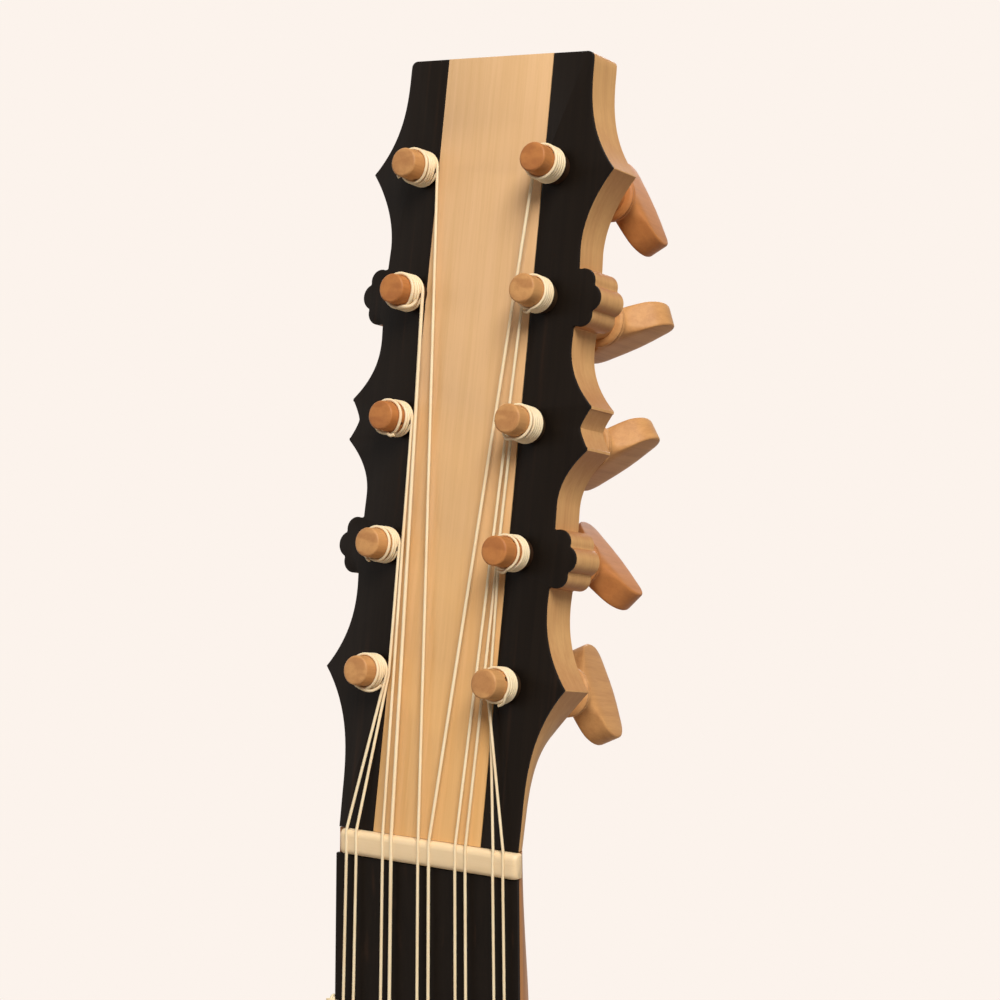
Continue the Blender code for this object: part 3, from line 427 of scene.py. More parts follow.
def glide(nodes, steps):
    """Points on a smooth curve from the second node up to the last but one, without its end."""
    points = []
    for before, start, end, after in zip(nodes, nodes[1:], nodes[2:], nodes[3:]):
        for t in [k / steps for k in range(steps)]:
            points.append(0.5 * (
                2.0 * start
                + (end - before) * t
                + (2.0 * before - 5.0 * start + 4.0 * end - after) * t ** 2
                + (3.0 * start - before - 3.0 * end + after) * t ** 3
            ))
    return points


def curve_through(nodes, steps):
    """Points of a smooth curve that runs through all nodes."""
    nodes = [Vector(node) for node in nodes]
    padded = [nodes[0] * 2.0 - nodes[1], *nodes, nodes[-1] * 2.0 - nodes[-2]]
    return glide(padded, steps) + [nodes[-1]]


def shrink(outline, distance):
    """The same closed outline moved inward, whichever way round it runs."""
    after = outline[1:] + outline[:1]
    area = sum(a[0] * b[1] - b[0] * a[1] for a, b in zip(outline, after))
    moved = []
    for previous, point, following in zip(outline[-1:] + outline[:-1], outline, after):
        come = Vector(point) - Vector(previous)
        go = Vector(following) - Vector(point)
        side = Vector((-come.y, come.x)).normalized() + Vector((-go.y, go.x)).normalized()
        side = side.normalized() * math.copysign(distance, area)
        moved.append((point[0] + side.x, point[1] + side.y))
    return moved


def slab(name, outline, surface, layers):
    """A flat piece that draws in from layer to layer, each an inset and an offset from a surface."""
    return stack(name, [
        [Vector((x, surface(z) + offset, z)) for x, z in shrink(outline, mm(inset))]
        for inset, offset in layers
    ])


def both_ends(half, ends):
    """Places along a bar from end to end, each with its drop, from those near one end."""
    near = [(-half + mm(place), mm(drop)) for place, drop in ends]
    return near + [(-place, drop) for place, drop in reversed(near)]


# Head: u across, v up, w out of its face


def head_point(u, v, w):
    """A point of the head in the guitar's own axes."""
    tilt = chosen("head").tilt
    return Vector((
        u, v * math.sin(tilt) - w * math.cos(tilt), v * math.cos(tilt) + w * math.sin(tilt)
    ))


def peg_row(row):
    """How far up the head a row of pegs lies."""
    pegs = chosen("pegs")
    return pegs.first_row + pegs.row_pitch * row


def flank(waist, tip, power, steps=16):
    """A hollow flank that sweeps from a waist out to the point of a cusp."""
    return [
        (waist[0] + (tip[0] - waist[0]) * share ** power, waist[1] + (tip[1] - waist[1]) * share)
        for share in [i / steps for i in range(steps + 1)]
    ]


def single_cusp(low_waist, high_waist, row, low_power, high_power):
    """One cusp beside a peg, a little blunt at its point."""
    out = chosen("head").cusp
    blunt = ((0.22, -0.32), (0.06, -0.12), (0.06, 0.12), (0.22, 0.32))
    points = flank(low_waist, (out, row), low_power)[:-1]
    points += [(out - mm(inset), row + mm(rise)) for inset, rise in blunt]
    return points + flank(high_waist, (out, row), high_power)[-2::-1]


def double_cusp(low_waist, high_waist, row):
    """Two cusps with a notch between them, beside the middle peg."""
    reach = mm(5.0)
    out = chosen("head").cusp
    low_tip, high_tip = (out, row - reach), (out, row + reach)
    notch = (out - mm(2.6), row)
    blunt = out - mm(0.15)
    points = flank(low_waist, low_tip, 2.1)[:-1]
    points += [(blunt, row - reach - mm(0.1)), (blunt, row - reach + mm(0.5))]
    points += flank(notch, low_tip, 1.3, 8)[7:0:-1]
    points += flank(notch, high_tip, 1.3, 8)[:8]
    points += [(blunt, row + reach - mm(0.5)), (blunt, row + reach + mm(0.1))]
    return points + flank(high_waist, high_tip, 2.3)[-2::-1]


def three_lobes(row):
    """Three round lobes beside one peg, the middle one proud of the others."""
    quarter = [(27.35, 6.95), (27.7, 6.72)]
    for centre, place, radius, start, end in ((29.1, 3.9, 2.9, 108, -12), (30.75, 0.0, 3.2, 66, 0)):
        for k in range(15):
            turn = math.radians(start + (end - start) * k / 14)
            quarter.append((centre + radius * math.cos(turn), place + radius * math.sin(turn)))
    lower = [(mm(u), row - mm(v)) for u, v in quarter]
    return lower + [(mm(u), row + mm(v)) for u, v in reversed(quarter[:-1])]


def head_edge():
    """The treble edge of the head from the nut up to the corner at the top."""
    head = chosen("head")
    rows = [peg_row(row) for row in range(ROWS)]
    nut, top, waist = head.half_at_nut, head.half_at_top, head.waist
    points = [(nut, 0.0), (nut + mm(0.05), rows[0] - mm(34.0))]
    low, high = (nut + mm(0.1), rows[0] - mm(30.0)), (waist, rows[0] + mm(20.0))
    points += single_cusp(low, high, rows[0] + mm(0.2), 2.9, 2.3)
    points += three_lobes(rows[1] - mm(0.4))
    low, high = (waist, rows[1] + mm(12.0)), (waist, rows[3] - mm(11.0))
    points += double_cusp(low, high, rows[2] - mm(0.4))
    points += three_lobes(rows[3] - mm(0.6))
    low, high = (waist - mm(0.1), rows[3] + mm(11.5)), (top, head.rise - mm(2.5))
    points += single_cusp(low, high, rows[4] - mm(0.8), 1.95, 2.8)
    corner = mm(1.6)
    for k in range(1, 7):
        turn = math.radians(15 * k)
        points.append((
            top - corner + corner * math.cos(turn), head.rise - corner + corner * math.sin(turn)
        ))
    return points


def mirrored(edge):
    """A whole outline from its treble edge."""
    return edge + [(-u, v) for u, v in reversed(edge)]


def strip_half(v):
    """Half width of the centre strip, v up the head."""
    head = chosen("head")
    return head.strip_low + (head.strip_high - head.strip_low) * v / head.rise


def head_ring(outline, w):
    """An outline of the head at height w, its lower end level with the top of the nut."""
    tilt = chosen("head").tilt
    lift = (mm(FIT) - w * math.sin(tilt)) / math.cos(tilt)
    return [head_point(u, max(v, lift), w) for u, v in outline]


def rounded_plate(name, outline, front, edge):
    """A plate on the head, as thick as its veneers, whose front edge is eased."""
    return stack(name, [
        head_ring(outline, -chosen("head").veneer),
        head_ring(outline, front - edge),
        head_ring(shrink(outline, edge * 0.3), front - edge * 0.3),
        head_ring(shrink(outline, edge), front),
    ])


def peg_radius(w):
    """Radius of the tapered shaft at height w over the head's face."""
    pegs = chosen("pegs")
    return pegs.tip_radius + (pegs.tip_rise - w) / TAPER


def peg_centre(label, row, w):
    """Where a peg's leaning axis passes height w over the head's face, as (u, v)."""
    pegs = chosen("pegs")
    lean = math.radians(PEG_LEANS[label][row])
    rise = peg_row(row) - (pegs.tip_rise - w) * math.tan(lean)
    return Vector((SIDES[label] * pegs.column, rise))


def peg_frame(label, row):
    """From a peg's own frame, its leaning axis up from the head's face, to the guitar's."""
    place = head_point(*peg_centre(label, row, 0.0), 0.0)
    lean = chosen("head").tilt + math.radians(PEG_LEANS[label][row])
    return Matrix.Translation(place) @ Matrix.Rotation(math.pi / 2 - lean, 4, "X")


def bore_for_pegs(piece):
    """Drill the tapered holes of all ten pegs through a piece of the head."""
    front, back = mm(3.0), mm(-14.0)
    carve(piece, cutter("peg_bores", [(
        head_point(*peg_centre(*peg, front), front), head_point(*peg_centre(*peg, back), back),
        peg_radius(front) + mm(FIT), peg_radius(back) + mm(FIT),
    ) for peg in PEGS], 40))


class GUITAR_OT_head_core(bpy.types.Operator):
    """Carve the pale core of the head, scalloped at its edges and rounded in towards the neck"""

    bl_idname = "guitar.head_core"
    bl_label = "Head core"

    def execute(self, context):
        head = chosen("head")
        front, back = -head.veneer - mm(FIT), -head.thickness
        rings = []
        steps = 14
        for i in range(steps + 1):
            depth = 1.0 - i / steps
            ring = []
            for u, v in mirrored(head_edge()):
                rounding = 0.9 * (1.0 - smooth(v / mm(38.0)))
                ring.append((u * math.sqrt(1.0 - rounding * depth ** 2), v))
            rings.append(head_ring(ring, front + (back - front) * depth))
        core = stack("head_core_carved", rings, 30)
        bore_for_pegs(core)
        dress(core, "carved_maple", "guitar", "pale_wood", "head_core")
        return {"FINISHED"}


class GUITAR_OT_head_veneers(bpy.types.Operator):
    """Cut the two ebony veneers of the head and bore them for the pegs"""

    bl_idname = "guitar.head_veneers"
    bl_label = "Head veneers"

    def execute(self, context):
        rise, gap = chosen("head").rise, mm(0.13)
        border = head_edge() + [(strip_half(rise) + gap, rise), (strip_half(0.0) + gap, 0.0)]
        for label, side in SIDES.items():
            outline = [(side * u, v) for u, v in border]
            veneer = rounded_plate(f"ebony_veneer_{label}", outline, 0.0, mm(0.25))
            bore_for_pegs(veneer)
            dress(veneer, "ebony_oiled", "guitar", "ebony", f"head_veneer_{label}")
        return {"FINISHED"}


class GUITAR_OT_centre_strip(bpy.types.Operator):
    """Plane the maple strip that runs up the middle of the head"""

    bl_idname = "guitar.centre_strip"
    bl_label = "Centre strip"

    def execute(self, context):
        edge = [(strip_half(v), v) for v in [chosen("head").rise * k / 12 for k in range(13)]]
        strip = rounded_plate("maple_strip", mirrored(edge), mm(-0.02), mm(0.12))
        bore_for_pegs(strip)
        dress(strip, "maple", "guitar", "pale_wood", "head_centre_strip")
        return {"FINISHED"}


# Pegs


def round_ring(radius, w, x=0.0, y=0.0, sides=32):
    """A round section about an upright axis."""
    return [(x + a, y + b, w) for a, b in circle(radius, sides)]


def paddle_ring(across, through, w, edge):
    """A rectangle with rounded corners and slightly swollen faces, of 32 points."""
    edge = min(edge, 0.92 * across, 0.92 * through)
    swell = mm(0.3)
    quarter = [(across, 0.0), (across, (through - edge) * 0.6), (across, through - edge)]
    for k in (1, 2, 3):
        turn = math.pi * k / 8
        quarter.append((across - edge * (1 - math.cos(turn)), through - edge * (1 - math.sin(turn))))
    quarter += [(across - edge, through), ((across - edge) * 0.5, through + swell * 0.75)]
    half = quarter + [(0.0, through + swell)] + [(-x, y) for x, y in reversed(quarter[1:])]
    return [(x, y, w) for x, y in half + [(-x, -y) for x, y in half]]


def peg_blank():
    """One peg about its own axis: chamfered tip, tapered shaft, collar with rings, thumb piece."""
    pegs = chosen("pegs")
    tip, rise, depth = pegs.tip_radius, pegs.tip_rise, pegs.collar_depth
    chamfer = ((1.6, 0.0), (0.42, 0.02), (0.3, 0.06), (0.03, 0.32), (0.0, 0.45))
    rings = [round_ring(tip - mm(inset), rise - mm(drop)) for inset, drop in chamfer]
    for w in [rise + (-depth - rise) * k / 9.0 for k in range(1, 10)]:
        rings.append(round_ring(peg_radius(w), w))
    turned = (
        (0.7, 0.02), (0.25, 0.08), (0.0, 0.2), (0.1, 0.32), (0.55, 0.38), (0.6, 0.42), (0.2, 0.48),
        (0.15, 0.62), (0.55, 0.8), (1.0, 0.95),
    )
    for inset, share in turned:
        rings.append(round_ring(pegs.collar_radius - mm(inset), -depth - pegs.collar_length * share))
    sections = []
    for share, width, thick in curve_through([
        (0.0, 0.36, 1.22), (0.06, 0.37, 1.12), (0.13, 0.41, 1.05), (0.25, 0.60, 1.06),
        (0.36, 0.82, 1.03), (0.49, 0.95, 0.98), (0.64, 1.0, 0.93), (0.80, 0.96, 0.87),
        (0.90, 0.84, 0.80), (0.96, 0.70, 0.72), (1.0, 0.54, 0.65),
    ], 3):
        edge = mm(0.6 + 2.6 * (1.0 - smooth(share / 0.32)))
        sections.append((share, pegs.paddle_half * width, pegs.paddle_depth * thick, edge))
    _, across, through, edge = sections[-1]
    for share, inset in ((1.012, mm(0.25)), (1.02, mm(0.7))):
        sections.append((share, across - inset, through - inset, edge))
    for share, across, through, edge in sections:
        w = -depth - pegs.collar_length - pegs.paddle_length * share
        rings.append(paddle_ring(across, through, w, edge))
    blank = stack("peg_blank", rings, 40)
    hole, reach = rise - mm(4.6), tip + mm(2.0)
    carve(blank, cutter("string_hole", [((0, -reach, hole), (0, reach, hole), mm(0.6), mm(0.6))], 16))
    return blank


class GUITAR_OT_pegs(bpy.types.Operator):
    """Turn one peg and set ten copies of it in the head"""

    bl_idname = "guitar.pegs"
    bl_label = "Pegs"

    def execute(self, context):
        blank = peg_blank()
        for label, row in PEGS:
            pick(blank)
            bpy.ops.object.duplicate(linked=False)
            node = f"peg_{label}_{row + 1}"
            peg = newest(f"turned_{node}")
            rise = Matrix.Translation((0.0, 0.0, mm(PEG_RISES[label][row])))
            turn = Matrix.Rotation(math.radians(PEG_TURNS[label][row]), 4, "Z")
            peg.matrix_world = peg_frame(label, row) @ rise @ turn
            bpy.ops.object.transform_apply(location=True, rotation=True, scale=True)
            finish = "fruitwood_red" if (label, row) in RED_PEGS else "fruitwood"
            dress(peg, finish, node, "peg_wood", node)
        bpy.data.objects.remove(blank)
        return {"FINISHED"}


# Strings


def string_peg(i):
    """Side and row of the peg that winds string i."""
    return PEGS[i] if i < ROWS else PEGS[3 * ROWS - 1 - i]


def winding_radius(i, w):
    """How far from the axis of its peg string i runs at height w."""
    return peg_radius(w) + mm(STRING_RADII[i] + 0.03)


def string_bend(i):
    """Where string i rubs along the peg below its own, as (u, v, w), or nothing."""
    label, row = string_peg(i)
    if row not in RUBS:
        return None
    radii, spare, w = RUBS[row]
    reach = peg_radius(0.0) + mm(radii * STRING_RADII[i] + spare)
    return SIDES[label] * (chosen("pegs").column - reach), peg_row(row - 1), mm(w)


def string_meeting(i):
    """Where string i meets its winding: the angle round the peg, and the height."""
    label, row = string_peg(i)
    start = mm(WINDINGS[i][0])
    aim = string_bend(i) or (mm(STRING_PLACES[i]), 0.0)
    run = Vector(aim[:2]) - peg_centre(label, row, start)
    spread = math.acos(winding_radius(i, start) / run.length)
    return math.atan2(run.y, run.x) - SIDES[label] * spread, start


def round_peg(i, turn, w, out=0.0):
    """A point of string i at an angle round its peg and a height, a little off the shaft."""
    reach = winding_radius(i, w) + out
    return peg_frame(*string_peg(i)) @ Vector((reach * math.cos(turn), reach * math.sin(turn), w))


def tuck_in(i, points, w):
    """The radii of a cord whose first points thin out and draw in towards the peg."""
    thick = mm(STRING_RADII[i])
    radii = [thick] * len(points)
    middle = head_point(*peg_centre(*string_peg(i), w), w)
    for k, (share, draw) in enumerate(((0.55, 0.5), (0.75, 0.3), (0.9, 0.12))):
        radii[k] = thick * share
        points[k] = points[k] + (middle - points[k]).normalized() * thick * draw
    return radii


def string_span(i):
    """Points and radii of string i from the end of its lowest turn to its tie at the bridge."""
    neck, body = chosen("neck", "body")
    side = SIDES[string_peg(i)[0]]
    first, start = string_meeting(i)
    thick = mm(STRING_RADII[i])
    turns = [first - side * 2.0 * math.pi * k / TURN_STEPS for k in range(TURN_STEPS - 1)]
    points = [round_peg(i, turn, start) for turn in reversed(turns)]
    bend = string_bend(i)
    if bend:
        points += curve_through([points[-1], head_point(*bend)], 2)[1:]
    x, y = mm(STRING_PLACES[i]), -neck.rise - neck.nut_rise + mm(0.05)
    bx, by = x * BRIDGE_SPREAD, -neck.rise - mm(BRIDGE_HOLES)
    front = -neck.nut_width - body.scale
    rear = front - mm(13.2) - thick
    crown = -neck.rise - body.bridge_rise - mm(0.1) - thick
    shift = bx + 2.0 * thick + mm(0.5)
    points += [
        Vector((x, y + mm(0.12), mm(0.2))), Vector((x, y, mm(-0.9))),
        Vector((x, y, -neck.nut_width + mm(0.2))), Vector((bx, by, front + mm(0.6))),
    ]
    points += curve_through([
        (bx, by, front - mm(11.6)), (bx + mm(0.15), by - mm(0.3), rear - mm(0.4)),
        (bx + mm(0.3), by - mm(1.4), rear - mm(0.7)), (bx + mm(0.5), crown + mm(0.3), rear + mm(1.1)),
        (bx + mm(0.7), crown, front - mm(10.0)), (shift, crown, front - mm(2.0)),
        (shift, crown + mm(0.5), front + mm(0.2)), (shift, by - mm(0.9), front + mm(1.0)),
    ], 5)
    return points, tuck_in(i, points, start)


def string_winding(i):
    """Points and radii of the turns of string i that turn with its peg, up to its cut end."""
    side = SIDES[string_peg(i)[0]]
    first, start = string_meeting(i)
    thick = mm(STRING_RADII[i])
    _, tight, gap, slack, drop, cut = WINDINGS[i]
    pitch = 2.0 * thick + mm(0.02)
    turns = tight + 1.0
    turns += (side * (first - math.radians(cut)) / (2.0 * math.pi) - turns) % 1.0
    points = []
    for k in range(int(turns * TURN_STEPS) + 1):
        turned = k / TURN_STEPS
        whole = math.floor(turned)
        step = whole + smooth((turned - whole - 0.8) / 0.2)
        last = smooth((turned - (turns - 1.15)) / 0.3)
        w = start + pitch * (1.0 + step) + mm(gap) * last
        turn = first + side * (math.radians(6) - 2.0 * math.pi * turned)
        points.append(round_peg(i, turn, w, mm(slack) * smooth((turned - (turns - 0.4)) / 0.4)))
    over = 2.0 * thick if drop else mm(0.25)
    sweep = side * 2.0 * math.pi * (0.05 + 0.07 * drop)
    for share in [k / 8.0 for k in range(1, 9)]:
        out = mm(slack) + over * smooth(share * 1.6)
        points.append(round_peg(i, turn - sweep * share, w - mm(drop) * smooth(share), out))
    return points, tuck_in(i, points, start + pitch)


class GUITAR_OT_strings(bpy.types.Operator):
    """Stretch the ten gut strings and wind each on its peg"""

    bl_idname = "guitar.strings"
    bl_label = "Strings"

    def execute(self, context):
        for i in range(len(STRING_PLACES)):
            label, row = string_peg(i)
            span = cord(f"string_{i + 1}_span", *string_span(i))
            dress(span, "gut_twisted", "guitar", "gut", f"string_{i + 1}")
            winding = cord(f"string_{i + 1}_winding", *string_winding(i))
            dress(winding, "gut_twisted", f"peg_{label}_{row + 1}", "gut")
        return {"FINISHED"}


# Neck, fingerboard, nut and frets


def neck_half(z):
    """Half width of the fingerboard and neck at height z."""
    neck = chosen("neck")
    return neck.half_at_nut - (neck.half_at_body - neck.half_at_nut) * z / neck.run


def glue_plane():
    """Where the underside of the fingerboard lies in y."""
    neck = chosen("neck")
    return neck.board - neck.rise


def neck_depth(z):
    """Distance of the neck's back from the underside of the fingerboard at height z."""
    neck, head, body = chosen("neck", "head", "body")
    head_depth = head.thickness / math.cos(head.tilt) - glue_plane()
    along = neck.depth + (neck.depth_at_heel - neck.depth) * (-z / neck.run) - neck.board
    deep = head_depth + (along - head_depth) * smooth(-z / neck.volute)
    heel_share = 1.0 - (neck.run + z) / neck.heel
    if heel_share > 0.0:
        deep += (body.depth_at_neck - neck.board - mm(2.2) - deep) * heel_share ** 2.6
    return deep


def neck_section(z, points=48):
    """The neck's outline at height z: a flat top and a rounded back."""
    half, deep = neck_half(z) - mm(0.2), neck_depth(z)
    volute = chosen("neck").volute
    power = 2.0 / (2.0 + 0.2 * smooth((-z - volute) / volute))
    ring = []
    for turn in [math.pi * i / points for i in range(points + 1)]:
        across = math.copysign(abs(math.cos(turn)) ** power, math.cos(turn))
        through = math.sin(turn) ** power
        ring.append(Vector((half * across, glue_plane() + mm(FIT) + deep * through, z)))
    return ring


class GUITAR_OT_neck(bpy.types.Operator):
    """Shape the neck from the head down to its heel and finish the fingerboard"""

    bl_idname = "guitar.neck"
    bl_label = "Neck and fingerboard"

    def execute(self, context):
        sizes = chosen("neck")
        volute, heel_top = sizes.volute, sizes.heel - sizes.run
        heights = [mm(-0.15) - (volute - mm(0.15)) * k / 10.0 for k in range(11)]
        heights += [-volute + (heel_top + volute) * k / 6.0 for k in range(1, 7)]
        heights += [heel_top - (sizes.heel - mm(0.3)) * k / 14.0 for k in range(1, 15)]
        neck = stack("neck_carved", [neck_section(z) for z in heights], 40)
        dress(neck, "neck_wood_oiled", "guitar", "neck_wood", "neck")
        refinish("ebony_oiled", "fingerboard")
        return {"FINISHED"}


class GUITAR_OT_nut(bpy.types.Operator):
    """Carve the bone nut, round its top and file its ten slots"""

    bl_idname = "guitar.nut"
    bl_label = "Nut"

    def execute(self, context):
        neck = chosen("neck")
        top, width = -neck.rise - neck.nut_rise, neck.nut_width
        profile = self.profile(top, width)
        ends = ((0.0, 1.0), (0.1, 0.7), (0.35, 0.35), (0.8, 0.1), (1.4, 0.0))
        rings = []
        for place, drop in both_ends(neck.nut_half, ends):
            draw = 1.0 - drop / mm(1.0) * 0.12
            rings.append([Vector((
                neck.nut_centre + place, y + (drop * 0.8 if y < glue_plane() else 0.0),
                -width / 2 + (z + width / 2) * draw,
            )) for y, z in profile])
        nut = stack("nut_carved", rings)
        slots = []
        for place, radius in zip(STRING_PLACES, STRING_RADII):
            x, wide = mm(place), mm(radius + 0.06)
            slots.append(((x, top, mm(3.0)), (x, top, -width - mm(3.0)), wide, wide))
        carve(nut, cutter("nut_slots", slots, 16))
        dress(nut, "bone_polished", "guitar", "bone", "nut")
        return {"FINISHED"}

    def profile(self, top, width):
        """The nut's section as (y, z): upright towards the head, rounded over, and falling away."""
        crown, rounding, fall = mm(-4.4), mm(1.3), mm(1.0)
        points = [(glue_plane(), 0.0), (top + rounding, 0.0)]
        for turn in [math.pi * k / 16 for k in range(1, 9)]:
            points.append((top + rounding * (1.0 - math.sin(turn)), mm(-1.6) * (1.0 - math.cos(turn))))
        points += [(top, mm(-3.2)), (top, crown)]
        for turn in [math.pi * k / 12 for k in range(1, 7)]:
            points.append((
                top + fall * (1.0 - math.cos(turn)), crown - (width + crown) * math.sin(turn)
            ))
        return points + [(glue_plane(), -width)]


class GUITAR_OT_frets(bpy.types.Operator):
    """Tie eight gut frets round the neck, each with its knot on the bass edge"""

    bl_idname = "guitar.frets"
    bl_label = "Tied frets"

    def execute(self, context):
        neck, body = chosen("neck", "body")
        radius = neck.fret_radius
        for n in range(1, 9):
            z = -neck.nut_width - body.scale * (1.0 - 2.0 ** (-n / 12.0))
            points = self.loop_points(z, radius)
            fret = cord(f"fret_{n}_tied", points, [radius] * len(points), 2)
            points = self.knot_points(z, radius)
            knot = cord(f"fret_{n}_knot", points, [radius] * len(points), 2)
            pick(fret, knot)
            bpy.ops.object.join()
            dress(fret, "gut_twisted", "guitar", "gut", f"fret_{n}")
        return {"FINISHED"}

    def loop_points(self, z, radius):
        """Once round the neck and a little over, sinking down the neck to pass its own start."""
        half, glue, face = neck_half(z), glue_plane(), -chosen("neck").rise
        lift = radius + mm(0.06)
        corner, front = half + lift, face - lift
        loop = [
            (-corner, glue - mm(0.7), 0.0), (-corner, face + mm(0.2), 0.0),
            (-half + mm(0.1), front, 0.0), (0.0, front, 0.0), (half - mm(0.1), front, 0.0),
            (corner, face + mm(0.2), 0.0),
        ]
        for point in neck_section(z - mm(1.9), 40)[1:-1]:
            out = Vector((point.x, (point.y - glue) * half / neck_depth(z), 0.0))
            spot = point + out.normalized() * (lift + mm(0.15))
            loop.append((spot.x, spot.y, 0.0))
        loop += [(-corner, glue + mm(0.6), 0.0), (-corner, face + mm(0.4), 0.0)]
        points = curve_through(loop, 3)
        for k, point in enumerate(points):
            point.z = z - mm(1.5) * smooth((k - len(points) + 26) / 20.0)
        return points

    def knot_points(self, z, radius):
        """A small double hitch with two short cut ends, on the bass edge of the neck."""
        corner = neck_half(z) + radius + mm(0.06)
        middle = Vector((-corner - radius * 0.6, glue_plane() - mm(0.4), z - mm(0.75)))
        points = []
        for share in [k / 32.0 for k in range(33)]:
            turn = 2.0 * math.pi * (1.9 * share + 0.2)
            points.append(middle + Vector((
                -radius * 0.9 * math.cos(turn * 0.5),
                mm(1.0) * math.sin(turn),
                mm(1.6) * math.cos(turn) * (1.0 - 0.4 * share) + mm(1.6) * (share - 0.5),
            )))
        return points


# Body


def body_half(steps=8):
    """The treble outline of the body from the neck round to the tail, as (x, z)."""
    neck, body = chosen("neck", "body")
    stations = [Vector((mm(half), share * body.run)) for half, share in BODY_STATIONS]
    widest = max(station.x for station in stations) + mm(0.35)
    nodes = [Vector((stations[0].x - mm(40.0), 0.0)), *stations]
    nodes += [Vector((0.0, body.run)), Vector((-stations[-1].x, stations[-1].y))]
    points = [(min(spot.x, widest), -neck.run - spot.y) for spot in glide(nodes, steps)]
    return [(0.0, -neck.run), *points, (0.0, -neck.run - body.run)]


def body_outline():
    """The whole outline of the body, as (x, z)."""
    half = body_half()
    return half + [(-x, z) for x, z in half[-2:0:-1]]


def halved(points, side):
    """An outline kept a hair off the centre line, on one side of it."""
    return [(side * max(x, mm(0.08)), z) for x, z in points]


def face_y(z):
    """Depth of the outer face of the soundboard, the same at every height z."""
    return -chosen("neck").rise


def back_y(z):
    """Depth of the outer face of the back at height z."""
    neck, body = chosen("neck", "body")
    share = (-neck.run - z) / body.run
    return -neck.rise + body.depth_at_neck + (body.depth_at_tail - body.depth_at_neck) * share


class GUITAR_OT_body(bpy.types.Operator):
    """Make the soundboard, the bent ribs and the back, and finish the work inside them"""

    bl_idname = "guitar.body"
    bl_label = "Body"

    def execute(self, context):
        neck, body = chosen("neck", "body")
        face = -neck.rise
        board = slab("soundboard_planed", body_outline(), face_y, (
            (0.0, body.board), (0.0, mm(0.4)), (0.12, mm(0.1)), (0.4, 0.0),
        ))
        centre, radius = -neck.run - body.rose_place, body.rose_radius
        carve(board, cutter("rose_hole", [(
            (0.0, face - mm(3.0), centre), (0.0, face + mm(6.0), centre), radius, radius,
        )], 128))
        dress(board, "spruce_varnished", "guitar", "spruce", "soundboard")
        half = body_half()
        inner = [half[0], *shrink(body_outline(), mm(2.0))[1:len(half) - 1], half[-1]]
        front = face + body.board + mm(0.1)
        for label, side in SIDES.items():
            rings = []
            for (xo, zo), (xi, zi) in zip(halved(half, side), halved(inner, side)):
                rings.append([
                    Vector((xo, front, zo)), Vector((xi, front, zi)),
                    Vector((xi, back_y(zi) - mm(2.3), zi)), Vector((xo, back_y(zo) - mm(2.3), zo)),
                ])
            rib = stack(f"rib_{label}_bent", rings)
            dress(rib, "rib_wood_varnished", "guitar", "rib_wood", f"rib_{label}")
            plate = slab(f"back_{label}_planed", halved(half, side), back_y, (
                (0.0, mm(-2.2)), (0.0, mm(-0.5)), (0.12, mm(-0.12)), (0.4, 0.0),
            ))
            dress(plate, "rib_wood_varnished", "guitar", "rib_wood", f"back_{label}")
            refinish("spruce_plain", f"lining_soundboard_{label}", f"lining_back_{label}")
        refinish("spruce_plain", "neck_block", "tail_block")
        for n in (1, 2, 3):
            refinish("spruce_plain", f"soundboard_bar_{n}", f"back_bar_{n}")
        return {"FINISHED"}


def lay_blocks(piece, outer, inner):
    """Give a band a map that runs along it in blocks and across it from 0 to 2."""
    count = len(outer)
    middle = [(Vector(a) + Vector(b)) / 2.0 for a, b in zip(outer, inner)]
    run = [0.0]
    for i in range(count):
        run.append(run[-1] + (middle[(i + 1) % count] - middle[i]).length)
    blocks = 2 * round(run[count] / mm(BLOCK))
    spots = KDTree(2 * count)
    for k, point in enumerate((*outer, *inner)):
        spots.insert((point[0], 0.0, point[1]), k)
    spots.balance()
    laid = piece.data.uv_layers.new(name="inlay")
    for face in piece.data.polygons:
        corners = [piece.data.vertices[k].co for k in face.vertices]
        found = [divmod(spots.find((co.x, 0.0, co.z))[1], count) for co in corners]
        closes = {spot for row, spot in found} == {0, count - 1}
        for loop, (row, spot) in zip(face.loop_indices, found):
            along = run[count] if closes and spot == 0 else run[spot]
            laid.data[loop].uv = (along / run[count] * blocks, 2.0 * row)


def band(name, outer, inner, front, back):
    """A flat closed band between two outlines of the same number of points."""
    corners = ((outer, front), (inner, front), (inner, back), (outer, back))
    piece = pull(name, [[(x, y, z) for x, z in outline] for outline, y in corners], "NOTHING")
    bpy.ops.mesh.select_all(action="DESELECT")
    bpy.ops.mesh.select_non_manifold()
    bpy.ops.mesh.bridge_edge_loops()
    close(piece)
    lay_blocks(piece, outer, inner)
    return piece


